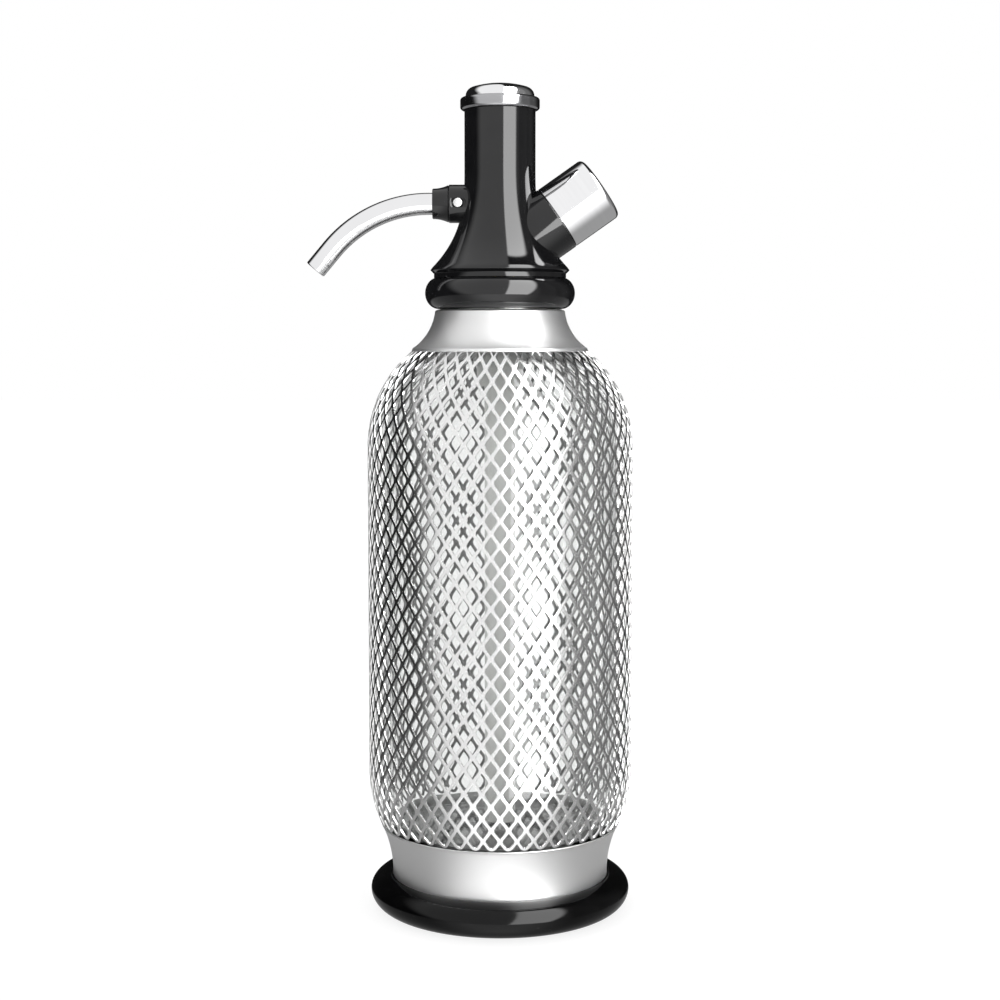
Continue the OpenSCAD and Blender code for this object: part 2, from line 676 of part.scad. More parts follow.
// Levels inside the head
spigot_top_z = head_low_z + spigot_rise;
lip_low_z = nut_top_z - nut_lip_t;
chamber_low_z = spigot_top_z - chamber_drop;
valve_seat_low_z = spigot_top_z + valve_seat_rise;
valve_seat_top_z = valve_seat_low_z + seat_t;
outlet_top_z = spout_z + outlet_rise;
pocket_low_z = outlet_top_z + seal_ledge;
guide_low_z = pocket_low_z + seal_pocket_h;
guide_top_z = guide_low_z + guide_h + guide_flange_t;
duct_s = duct_x / cos(port_lean);
duct_top_z = port_z + duct_x * tan(port_lean);

// Radius of the flare at share t of its height, from 0 at the column to 1 at the rim
function flare_at(t) = column_r + (rim_r - column_r) * pow(t, flare_power);

// Head: column, flare, spout boss and charging stub in one moulding
module head_body() {
    color([0.07, 0.07, 0.07]) difference() {
        union() {
            turned(concat(
                [[0, head_low_z], [rim_band_r, head_low_z], [rim_band_r, head_low_z + rim_band_h],
                 [rim_r, rim_z - rim_edge]],
                [for (i = [flare_steps:-1:0]) let (t = i / flare_steps)
                    [flare_at(t), flare_top_z - flare_h * t]],
                [[column_r, column_top_z], [0, column_top_z]]));
            on_spout() rod(boss_r, 0, boss_reach);
            on_port() rod(stub_r, stub_root, stub_reach);
        }
        rod(spigot_r + slip, head_low_z - cut, spigot_top_z);
        rod(seat_r + slip, spigot_top_z - cut, valve_seat_top_z);
        rod(outlet_r, valve_seat_top_z - cut, outlet_top_z);
        rod(stem_r + run, outlet_top_z - cut, pocket_low_z + cut);
        rod(stem_r + run + 2 * seal_wire_r, pocket_low_z, guide_low_z + cut);
        rod(guide_r + slip, guide_low_z, guide_top_z);
        rod(spring_bore_r, guide_top_z - guide_flange_t, column_top_z + cut);
        on_spout() rod(ferrule_lip_r, 0, ferrule_in + cut);
        on_spout() rod(ferrule_r + slip, ferrule_in, boss_reach + cut);
        translate([-pin_reach, 0, spout_z]) rotate([90, 0, 0])
            rod(pin_r + slip, -boss_r - cut, boss_r + cut);
        on_port() rod(port_r + slip, port_in, stub_reach + cut);
        on_port() rod(duct_r, duct_s, port_in + cut);
        translate([duct_x, 0, 0]) rod(duct_r, spigot_top_z - cut, duct_top_z);
    }
}

// Spigot: closes the head's underside, and its flange is pulled down by the nut
module head_spigot() {
    color([0.70, 0.62, 0.40]) difference() {
        union() {
            rod(spigot_flange_r, flange_low_z, lip_low_z - slip);
            rod(spigot_r, flange_low_z, spigot_top_z - slip);
        }
        rod(flange_r + slip, flange_low_z - cut, flange_low_z + flange_t + slip);
        pipe(duct_x + gas_hole_r, duct_x - gas_hole_r, flange_low_z,
             flange_low_z + flange_t + groove_depth);
        rod(riser_r + run, flange_low_z, riser_top_z + face_gap);
        rod(riser_r + run + 2 * riser_seal_r + slip, riser_seal_z - riser_seal_r - slip,
            riser_seal_z + riser_seal_r + slip);
        rod(riser_r - riser_wall, flange_low_z, spigot_top_z);
        rod(chamber_r, chamber_low_z, spigot_top_z + cut);
        translate([duct_x, 0, 0]) rod(duct_r, flange_low_z, spigot_top_z + cut);
        translate([duct_x, 0, 0]) rod(check_r + slip, spigot_top_z - slip - check_l, spigot_top_z + cut);
    }
}

module riser_seal() {
    color([0.15, 0.15, 0.15]) translate([0, 0, riser_seal_z]) rotate_extrude()
        translate([riser_r + run + riser_seal_r, 0]) circle(r = riser_seal_r);
}

// Dispensing valve: the washer closes upwards on the seat's lip
washer_top_z = valve_seat_low_z - seat_lip_h - slip;
washer_low_z = washer_top_z - washer_t;
stem_low_z = washer_low_z - slip - stem_foot_t;

module valve_seat() {
    color([0.72, 0.62, 0.38]) turned([
        [seat_hole_r, valve_seat_low_z - seat_lip_h],
        [seat_hole_r + seat_lip_t, valve_seat_low_z - seat_lip_h],
        [seat_hole_r + seat_lip_t, valve_seat_low_z],
        [seat_r, valve_seat_low_z],
        [seat_r, valve_seat_top_z - slip], [seat_hole_r, valve_seat_top_z - slip]]);
}

module stem_seal() {
    color([0.15, 0.15, 0.15]) translate([0, 0, (pocket_low_z + guide_low_z) / 2]) rotate_extrude()
        translate([stem_r + run + seal_wire_r, 0]) circle(r = seal_wire_r - slip);
}

module stem_guide() {
    color([0.90, 0.90, 0.88]) difference() {
        union() {
            rod(guide_r, guide_low_z + slip, guide_top_z);
            rod(guide_flange_r, guide_top_z - guide_flange_t + slip, guide_top_z);
        }
        rod(stem_r + run, guide_low_z - cut, guide_top_z + cut);
    }
}

// Button levels
button_low_z = column_top_z + slip + bezel_web + button_travel + face_gap;
button_under_z = overall_h - crown_h - button_top_t;
button_skirt_r = spring_bore_r - slip - bezel_sleeve_t - run;
edge_turn = 78;
edge_c = button_r - dome_edge_r;
edge_c_z = overall_h - crown_h - dome_edge_r;
crown_edge = [edge_c + dome_edge_r * cos(edge_turn), edge_c_z + dome_edge_r * sin(edge_turn)];
crown_rise = overall_h - crown_edge[1];
crown_arc_r = (pow(crown_edge[0], 2) + pow(crown_rise, 2)) / (2 * crown_rise);
crown_turn = asin(crown_edge[0] / crown_arc_r);

module push_button() {
    color([0.85, 0.85, 0.86]) turned(concat(
        [[stem_r + slip, button_under_z - button_hub_l], [button_hub_r, button_under_z - button_hub_l],
         [button_hub_r, button_under_z], [button_skirt_r - button_skirt_t, button_under_z],
         [button_skirt_r - button_skirt_t, button_low_z - button_skirt_l],
         [button_skirt_r, button_low_z - button_skirt_l], [button_skirt_r, button_low_z],
         [button_r, button_low_z]],
        arc(edge_c, edge_c_z, dome_edge_r, 0, edge_turn, 8),
        arc(0, overall_h - crown_arc_r, crown_arc_r, 90 - crown_turn, 90, 8),
        [[0, button_under_z + button_hub_floor], [stem_r + slip, button_under_z + button_hub_floor]]));
}

module valve_stem() {
    color([0.80, 0.80, 0.78]) turned([
        [0, stem_low_z], [stem_foot_r, stem_low_z], [stem_foot_r, stem_low_z + stem_foot_t],
        [stem_r, stem_low_z + stem_foot_t], [stem_r, washer_top_z + slip],
        [stem_collar_r, washer_top_z + slip], [stem_collar_r, washer_top_z + stem_collar_t],
        [stem_r, washer_top_z + stem_collar_t + slip],
        [stem_r, button_under_z + button_hub_floor - slip], [0, button_under_z + button_hub_floor - slip]]);
}

module valve_washer() {
    color([0.15, 0.15, 0.15]) pipe(washer_r, stem_r + slip, washer_low_z, washer_top_z);
}

// Bezel: a ring on the column's end with a sleeve that guides the button
module bezel_ring() {
    web_low_z = column_top_z + slip;
    color([0.85, 0.85, 0.86]) turned(concat(
        [[column_r + slip, bezel_low_z]],
        arc(bezel_r - bezel_edge_r, bezel_low_z + bezel_edge_r, bezel_edge_r, -90, 0, 5),
        arc(bezel_r - bezel_edge_r, bezel_top_z - bezel_edge_r, bezel_edge_r, 0, 90, 5),
        [[button_r + run, bezel_top_z], [button_r + run, web_low_z + bezel_web],
         [button_skirt_r + run, web_low_z + bezel_web],
         [button_skirt_r + run, column_top_z - bezel_sleeve_l],
         [spring_bore_r - slip, column_top_z - bezel_sleeve_l],
         [spring_bore_r - slip, web_low_z], [column_r + slip, web_low_z]]));
}

// Return spring: one wire wound in a helix between the stem guide and the button
spring_sides = 6;
spring_steps = 14;
spring_low_z = guide_top_z + slip + spring_wire_r;
spring_top_z = button_under_z - slip - spring_wire_r;

// Point of the spring's centre line at share t of its length, moved out and up from it
function spring_point(t, out = 0, up = 0) =
    let (a = 360 * spring_turns * t, r = spring_r + out)
    [r * cos(a), r * sin(a), spring_low_z + (spring_top_z - spring_low_z) * t + up];

// Ring of points round the wire at share t of its length
function spring_ring(t) =
    [for (k = [0:spring_sides - 1]) let (b = 360 * k / spring_sides)
        spring_point(t, spring_wire_r * cos(b), spring_wire_r * sin(b))];

// Least gap between one turn of the spring and the next
spring_gap = min([for (t = [0:1 / spring_steps:spring_turns - 1])
    norm(spring_point((t + 1) / spring_turns) - spring_point(t / spring_turns))]) - 2 * spring_wire_r;
echo(spring_gap = spring_gap);

module return_spring() {
    rings = spring_turns * spring_steps;
    last = spring_sides * rings;
    color([0.75, 0.75, 0.76]) polyhedron(
        [for (i = [0:rings]) each spring_ring(i / rings)],
        concat([[for (k = [spring_sides - 1:-1:0]) k]],
               [for (i = [0:rings - 1], k = [0:spring_sides - 1])
                   let (m = (k + 1) % spring_sides, p = spring_sides * i, q = p + spring_sides)
                   each [[p + k, p + m, q + m], [p + k, q + m, q + k]]],
               [[for (k = [0:spring_sides - 1]) last + k]]));
}

// Spout: a bent tube with straight ends
spout_bore_r = spout_r - spout_wall;
bend_over = 2;  // overrun of the bend's bore, in degrees

// The bend as a solid rod, drawn with an overrun in degrees at both ends
module spout_bend(r, over) {
    rotate_extrude(angle = bend_angle + 2 * over, start = 90 - over) translate([bend_r, 0]) circle(r = r);
}

module spout_tube() {
    color([0.85, 0.85, 0.86]) {
        on_spout() pipe(spout_r, spout_bore_r, ferrule_in + ferrule_lip_l, bend_start);
        translate([-bend_start, 0, spout_z - bend_r]) rotate([90, 0, 0]) {
            difference() {
                spout_bend(spout_r, 0);
                spout_bend(spout_bore_r, bend_over);
            }
            rotate([0, 0, 90 + bend_angle]) translate([bend_r, 0, 0]) rotate([-90, 0, 0])
                pipe(spout_r, spout_bore_r, 0, spout_end_l);
        }
    }
}

// Ferrule: carries the tube, is sealed in the boss and locked by two pins
ferrule_steps = 8;
ferrule_out = boss_reach + ferrule_l;
groove_at = ferrule_in + spout_seal_in;
groove_half = spout_seal_r + slip;

module spout_ferrule() {
    color([0.07, 0.07, 0.07]) difference() {
        on_spout() turned(concat(
            [[ferrule_lip_r, ferrule_in + slip], [ferrule_r, ferrule_in + slip],
             [ferrule_r, groove_at - groove_half], [ferrule_r - 2 * spout_seal_r, groove_at - groove_half],
             [ferrule_r - 2 * spout_seal_r, groove_at + groove_half], [ferrule_r, groove_at + groove_half],
             [ferrule_r, boss_reach + slip]],
            [for (i = [0:ferrule_steps]) let (t = i / ferrule_steps)
                [ferrule_end_r + (boss_r - ferrule_end_r) * pow(1 - t, 2),
                 boss_reach + slip + ferrule_l * t]],
            [[spout_r + slip, ferrule_out + slip], [spout_r + slip, ferrule_in + ferrule_lip_l - slip],
             [ferrule_lip_r, ferrule_in + ferrule_lip_l - slip]]));
        translate([-pin_reach, 0, spout_z]) rotate([90, 0, 0]) rod(pin_r + slip, -boss_r, boss_r);
    }
}

module spout_seal() {
    color([0.15, 0.15, 0.15]) on_spout() translate([0, 0, groove_at]) rotate_extrude()
        translate([ferrule_r + slip - spout_seal_r - slip, 0]) circle(r = spout_seal_r - slip / 2);
}

// Pins: one from each side of the boss, through the ferrule's wall
module spout_pins() {
    crown_r = (pow(pin_r, 2) + pow(pin_crown, 2)) / (2 * pin_crown);
    color([0.85, 0.85, 0.86]) for (side = [0, 180])
        translate([-pin_reach, 0, spout_z]) rotate([90, 0, side]) turned(concat(
            [[0, boss_r - pin_depth], [pin_r, boss_r - pin_depth]],
            arc(0, boss_r + pin_crown - crown_r, crown_r, 90 - asin(pin_r / crown_r), 90, 5)));
}

// Charging port and its cap, along the port's axis
port_end = stub_reach + port_l;
port_step = port_in + port_floor;
cap_low = stub_reach + face_gap;
cap_top = cap_low + cap_l;
cap_ceiling = port_end + slip + cap_seal_t + slip;

module charger_port() {
    color([0.72, 0.72, 0.70]) on_port() turned([
        [pin_hub_r + slip, port_in + slip], [port_r, port_in + slip],
        [port_r, port_end - nose_chamfer], [port_r - nose_chamfer, port_end],
        [port_bore_r, port_end], [port_bore_r, port_step], [pin_hub_r + slip, port_step]]);
}

module piercing_pin() {
    color([0.80, 0.80, 0.78]) on_port() turned([
        [needle_bore_r, port_in + needle_in], [pin_hub_r, port_in + needle_in],
        [pin_hub_r, port_step], [needle_r, port_step],
        [needle_r, port_step + needle_l - needle_tip],
        [needle_bore_r + slip, port_step + needle_l], [needle_bore_r, port_step + needle_l]]);
}

module charger_seal() {
    color([0.15, 0.15, 0.15]) on_port()
        pipe(port_bore_r - slip, needle_r + slip, port_step, port_step + charger_seal_t);
}

module check_valve() {
    color([0.15, 0.15, 0.15]) translate([duct_x, 0, 0])
        pipe(check_r, check_bore_r, spigot_top_z - check_l, spigot_top_z - slip);
}

module port_cap() {
    color([0.85, 0.85, 0.86]) on_port() turned(concat(
        [[port_r + run + nose_chamfer, cap_low], [cap_r - nose_chamfer / 2, cap_low],
         [cap_r, cap_low + nose_chamfer / 2]],
        arc(cap_r - cap_edge_r, cap_top - cap_edge_r, cap_edge_r, 0, 90, 6),
        [[0, cap_top], [0, cap_ceiling], [port_r + run, cap_ceiling],
         [port_r + run, cap_low + nose_chamfer]]));
}

module cap_seal() {
    color([0.15, 0.15, 0.15]) on_port() rod(port_r - slip, port_end + slip, port_end + slip + cap_seal_t);
}

// Coupling nut: a bead with a thread for the neck ring and a lip over the spigot's flange
nut_bead_z = nut_low_z + nut_bead_half - slip;
nut_cut_turn = asin((nut_top_z - nut_bead_z) / nut_bead_half);
nut_low_turn = asin((nut_bead_z - nut_low_z) / nut_bead_half);

module union_nut() {
    color([0.07, 0.07, 0.07]) turned(concat(
        [[thread_r + run, nut_low_z]],
        oval(nut_r - nut_bulge, nut_bead_z, nut_bulge, nut_bead_half, -nut_low_turn, nut_cut_turn, 16),
        [[spigot_r + run, nut_top_z], [spigot_r + run, lip_low_z], [thread_r + run, lip_low_z]]));
}

glass_bottle();
mesh_sleeve();
neck_collar();
neck_thread_ring();
base_band();
bottle_seat();
base_pad();
foot_ring();
bottle_seal();
insert_flange();
riser_tube();
measuring_tube();
head_body();
head_spigot();
riser_seal();
valve_seat();
stem_seal();
stem_guide();
return_spring();
bezel_ring();
spout_tube();
spout_ferrule();
spout_seal();
spout_pins();
charger_port();
piercing_pin();
charger_seal();
check_valve();
union_nut();
push_button();
valve_stem();
valve_washer();
port_cap();
cap_seal();
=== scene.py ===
"""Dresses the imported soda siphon: glass, expanded mesh, spun steel, chrome and black mouldings.

Sizes are in millimetres and go into Blender in metres. Z is up, the bottle's axis is the
Z axis, the spout points along -X and the charging port leans up along +X. FIT is the gap
round a piece that is held, SLIP the gap round one that moves, PITCH the rise of a thread.
"""
import logging
import math
from collections.abc import Callable
from dataclasses import dataclass, field, replace
from enum import Enum

import bpy
import numpy as np
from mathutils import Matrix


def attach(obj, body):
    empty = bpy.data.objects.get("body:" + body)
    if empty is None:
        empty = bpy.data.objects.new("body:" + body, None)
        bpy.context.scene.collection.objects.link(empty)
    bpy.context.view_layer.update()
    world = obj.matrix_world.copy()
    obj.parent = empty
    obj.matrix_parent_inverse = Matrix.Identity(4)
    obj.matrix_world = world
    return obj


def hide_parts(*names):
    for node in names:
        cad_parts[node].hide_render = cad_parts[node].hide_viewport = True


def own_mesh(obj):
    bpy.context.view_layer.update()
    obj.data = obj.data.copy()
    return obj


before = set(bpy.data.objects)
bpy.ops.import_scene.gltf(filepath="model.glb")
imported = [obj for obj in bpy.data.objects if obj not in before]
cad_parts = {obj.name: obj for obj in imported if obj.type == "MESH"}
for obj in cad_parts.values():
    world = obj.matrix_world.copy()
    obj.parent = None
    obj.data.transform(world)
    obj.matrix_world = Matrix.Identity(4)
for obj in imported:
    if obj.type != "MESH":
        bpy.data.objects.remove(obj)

MM = 0.001
TURN = 2.0 * math.pi
SHARP = math.radians(34.0)
LOG = logging.getLogger("siphon")
FIT = 0.05
SLIP = 0.08
PITCH = 2.0

Change = Callable[[np.ndarray], np.ndarray]
Swell = Callable[[np.ndarray, np.ndarray, np.ndarray], np.ndarray]


# Outlines


def arc(cx: float, cy: float, radius: float, start: float, end: float, steps: int = 16) -> np.ndarray:
    """Points of a circle's arc: (cx + r cos a, cy + r sin a) for a from start to end.

    Args:
        cx, cy: Centre.
        radius: Radius of the arc.
        start, end: Angles in degrees.
        steps: Number of chords.
    Returns:
        An array of steps + 1 rows.
    """
    return oval(cx, cy, radius, radius, start, end, steps)


def oval(cx: float, cy: float, rx: float, ry: float, start: float, end: float,
         steps: int = 16) -> np.ndarray:
    """Points of an ellipse's arc: (cx + rx cos a, cy + ry sin a).

    Args:
        cx, cy: Centre.
        rx, ry: Half axes.
        start, end: Angles in degrees.
        steps: Number of chords.
    Returns:
        An array of steps + 1 rows.
    """
    a = np.radians(np.linspace(start, end, steps + 1))
    return np.column_stack([cx + rx * np.cos(a), cy + ry * np.sin(a)])


def outline(*parts: object) -> np.ndarray:
    """Joins points and arrays of points into one outline.

    Args:
        parts: (radius, height) pairs, or arrays of them.
    Returns:
        One array without repeated neighbours.
    """
    points = np.vstack([np.atleast_2d(np.asarray(p, float)) for p in parts])
    step = np.linalg.norm(points - np.roll(points, 1, axis=0), axis=1)
    return points[step > 1e-6]


def softened(points: np.ndarray, radius: float, turn: float = 40.0, steps: int = 4) -> np.ndarray:
    """Rounds each corner of a closed outline that turns by more than a given angle.

    A corner p between unit directions u (to the last point) and v (to the next) becomes the
    curve p + (1 - t)^2 d u + t^2 d v, which touches both sides at the distance d.

    Args:
        points: Closed outline.
        radius: Distance d, held to 0.45 of the shorter side.
        turn: Least angle that is rounded, in degrees.
        steps: Chords of a rounded corner.
    Returns:
        The rounded outline.
    """
    u, v = np.roll(points, 1, axis=0) - points, np.roll(points, -1, axis=0) - points
    lu, lv = np.linalg.norm(u, axis=1), np.linalg.norm(v, axis=1)
    cos = np.clip((u * v).sum(1) / (lu * lv), -1.0, 1.0)
    sharp = (180.0 - np.degrees(np.arccos(cos)) > turn) & (points[:, 0] > 1e-6)
    reach = np.where(sharp, np.minimum(radius, 0.45 * np.minimum(lu, lv)), 0.0)
    t = np.linspace(0.0, 1.0, steps + 1)[None, :, None]
    du, dv = (u / lu[:, None] * reach[:, None])[:, None], (v / lv[:, None] * reach[:, None])[:, None]
    curve = points[:, None] + (1.0 - t) ** 2 * du + t**2 * dv
    return outline(curve.reshape(-1, 2))


# Surfaces


@dataclass(frozen=True)
class Surface:
    """A mesh in millimetres before it goes into Blender."""

    points: np.ndarray
    quads: np.ndarray
    triangles: np.ndarray

    def moved(self, change: Change) -> "Surface":
        """Returns the surface with its points passed through a function."""
        return Surface(change(self.points), self.quads, self.triangles)

    def flipped(self) -> "Surface":
        """Returns the surface with its faces turned round."""
        return Surface(self.points, self.quads[:, ::-1], self.triangles[:, ::-1])

    def welded(self) -> "Surface":
        """Returns the surface with points that lie within 0.1 micrometre of each other as one.

        Returns:
            The welded surface.
        """
        _, first, inverse = np.unique(
            np.round(self.points, 4), axis=0, return_index=True, return_inverse=True)
        inverse = inverse.ravel()
        return Surface(self.points[first], inverse[self.quads], inverse[self.triangles])


def joined(*surfaces: Surface) -> Surface:
    """Puts surfaces together without welding them.

    Args:
        surfaces: Surfaces to put together.
    Returns:
        One surface.
    """
    starts = np.cumsum([0] + [len(s.points) for s in surfaces[:-1]])
    return Surface(np.vstack([s.points for s in surfaces]),
                   np.vstack([s.quads + n for s, n in zip(surfaces, starts)]),
                   np.vstack([s.triangles + n for s, n in zip(surfaces, starts)]))


def grid_faces(ids: np.ndarray) -> tuple[np.ndarray, np.ndarray]:
    """Faces of a grid of point numbers: quads, and triangles where a row has shrunk to one point.

    Args:
        ids: Point numbers, rows along the outline and columns round the axis, both closed.
    Returns:
        Quads and triangles.
    """
    a, b = ids, np.roll(ids, -1, axis=1)
    d, c = np.roll(a, -1, axis=0), np.roll(b, -1, axis=0)
    low, high = ids[:, 0] == ids[:, 1], np.roll(ids[:, 0] == ids[:, 1], -1)
    full, foot, head = ~low & ~high, low & ~high, ~low & high
    quads = np.stack([a[full], b[full], c[full], d[full]], axis=-1).reshape(-1, 4)
    feet = np.stack([a[foot], c[foot], d[foot]], axis=-1).reshape(-1, 3)
    heads = np.stack([a[head], b[head], d[head]], axis=-1).reshape(-1, 3)
    return quads, np.vstack([feet, heads])


def turned(points: np.ndarray, segments: int = 192, swell: Swell | None = None) -> Surface:
    """Turns a closed outline round the Z axis: (r cos a, r sin a, z), with r moved by swell(r, z, a).

    Args:
        points: Closed outline of (radius, height) rows.
        segments: Columns round the axis.
        swell: Change of the radius from arrays of radius, height and angle, or nothing.
    Returns:
        A closed surface that faces outwards.
    """
    r, z = points[:, 0], points[:, 1]
    area = (r * np.roll(z, -1) - np.roll(r, -1) * z).sum()
    if area < 0:
        r, z = r[::-1], z[::-1]
    a = np.linspace(0.0, TURN, segments, endpoint=False)[None, :]
    radius = np.repeat(r[:, None], segments, axis=1)
    if swell is not None:
        radius = radius + swell(radius, z[:, None] + 0.0 * a, a + 0.0 * radius)
    grid = np.stack([radius * np.cos(a), radius * np.sin(a), z[:, None] + 0.0 * radius], axis=-1)
    ids = np.arange(radius.size).reshape(radius.shape)
    ids[r < 1e-9] = ids[r < 1e-9][:, :1]
    quads, triangles = grid_faces(ids)
    used, inverse = np.unique(np.concatenate([quads.ravel(), triangles.ravel()]), return_inverse=True)
    quads, triangles = inverse[:quads.size], inverse[quads.size:]
    return Surface(grid.reshape(-1, 3)[used], quads.reshape(-1, 4), triangles.reshape(-1, 3))


def on_axes(x: tuple, y: tuple, z: tuple, origin: tuple) -> Change:
    """Makes the function that carries points from a local frame to the part's frame.

    Args:
        x, y, z: Local axes as unit vectors.
        origin: Local origin in millimetres.
    Returns:
        A function from points to points: origin + px x + py y + pz z.
    """
    axes, start = np.array([x, y, z], float), np.array(origin, float)
    return lambda points: points @ axes + start


def helix(radius: float, wire: float, low: float, high: float, turns: float, sides: int = 12,
          steps: int = 36) -> Surface:
    """A closed wire wound round the Z axis.

    Its middle line is (R cos a, R sin a, z) with z rising evenly, and its section is a circle
    in the plane of the radius and Z. The end rows shrink to points.

    Args:
        radius: Radius R to the wire's middle.
        wire: Radius of the wire.
        low, high: Heights of the middle line's ends.
        turns: Number of turns.
        sides, steps: Points round the wire and per turn.
    Returns:
        The wire's surface.
    """
    rows = int(turns * steps) + 1
    t = np.concatenate([[0.0], np.linspace(0.0, 1.0, rows), [1.0]])[:, None]
    thick = np.full((rows + 2, 1), wire)
    thick[[0, -1]] = 0.0
    a, b = t * turns * TURN, np.linspace(0.0, TURN, sides, endpoint=False)[None, :]
    reach = radius + thick * np.cos(b)
    height = low + (high - low) * t + thick * np.sin(b)
    grid = np.stack([reach * np.cos(a), reach * np.sin(a), height], axis=-1)
    ids = np.arange(reach.size).reshape(reach.shape)
    ids[[0, -1]] = ids[[0, -1]][:, :1]
    quads, triangles = grid_faces(ids)
    last = (quads[:, 0] >= ids[-1, 0]) | (quads[:, 2] < sides)
    return Surface(grid.reshape(-1, 3), quads[~last], triangles).flipped()


# Finishes


class Skin(Enum):
    """Fine structure of a finish: lines round an axis, or the same in every direction."""

    SPUN = "spun"
    EVEN = "even"


class NodeSheet:
    """A node tree with short calls to add and link nodes."""

    def __init__(self, tree: bpy.types.NodeTree) -> None:
        """Keeps the tree."""
        self.tree = tree

    def add(self, kind: str, settings: dict | None = None, **inputs: object) -> bpy.types.Node:
        """Adds a node.

        Args:
            kind: The node's type without the prefix ShaderNode.
            settings: The node's own settings.
            inputs: Sockets by name (_ for a space) or i0, i1 by number: values or output sockets.
        Returns:
            The node.
        """
        node = self.tree.nodes.new(kind if kind.startswith("Node") else "ShaderNode" + kind)
        for name, value in (settings or {}).items():
            setattr(node, name, value)
        for name, value in inputs.items():
            by_number = name[0] == "i" and name[1:].isdigit()
            socket = node.inputs[int(name[1:]) if by_number else name.replace("_", " ")]
            if isinstance(value, bpy.types.NodeSocket):
                self.tree.links.new(value, socket)
            else:
                socket.default_value = value
        return node

    def math(self, operation: str, *values: object) -> bpy.types.NodeSocket:
        """Adds a Math node and returns its output."""
        inputs = {f"i{n}": v for n, v in enumerate(values)}
        return self.add("Math", {"operation": operation}, **inputs).outputs[0]

    def noise(self, place: object, scale: object, detail: float, **more: float) -> bpy.types.NodeSocket:
        """Adds a Noise Texture node and returns its value."""
        return self.add("TexNoise", Vector=place, Scale=scale, Detail=detail, **more).outputs[0]

    def blend(self, share: object, first: object, second: object) -> bpy.types.NodeSocket:
        """Adds a Mix node of two numbers and returns its output."""
        return self.add("Mix", {"data_type": "FLOAT"}, i0=share, i2=first, i3=second).outputs[0]

    def seen(self, path: object) -> bpy.types.NodeSocket:
        """Tells from a Light Path's outputs whether the camera sees this, straight or through glass."""
        return self.math("MAXIMUM", path["Is Camera Ray"], path["Is Transmission Ray"])

    def ramp(self, value: object, low: object, high: object, to_low: object = 0.0,
             to_high: object = 1.0) -> bpy.types.NodeSocket:
        """Adds a smooth Map Range node and returns its output."""
        return self.add("MapRange", {"interpolation_type": "SMOOTHSTEP"}, i0=value, i1=low, i2=high,
                        i3=to_low, i4=to_high).outputs[0]


def new_group(name: str, inputs: dict[str, object], outputs: dict[str, str]) -> NodeSheet:
    """Starts a shader node group.

    Args:
        name: The group's name.
        inputs: Default value of each input; three numbers make a vector socket.
        outputs: Socket type of each output.
    Returns:
        The sheet of the new group.
    """
    tree = bpy.data.node_groups.new(name, "ShaderNodeTree")
    for label, value in inputs.items():
        kind = "NodeSocketVector" if isinstance(value, tuple) else "NodeSocketFloat"
        tree.interface.new_socket(label, in_out="INPUT", socket_type=kind).default_value = value
    for label, kind in outputs.items():
        tree.interface.new_socket(label, in_out="OUTPUT", socket_type=kind)
    return NodeSheet(tree)


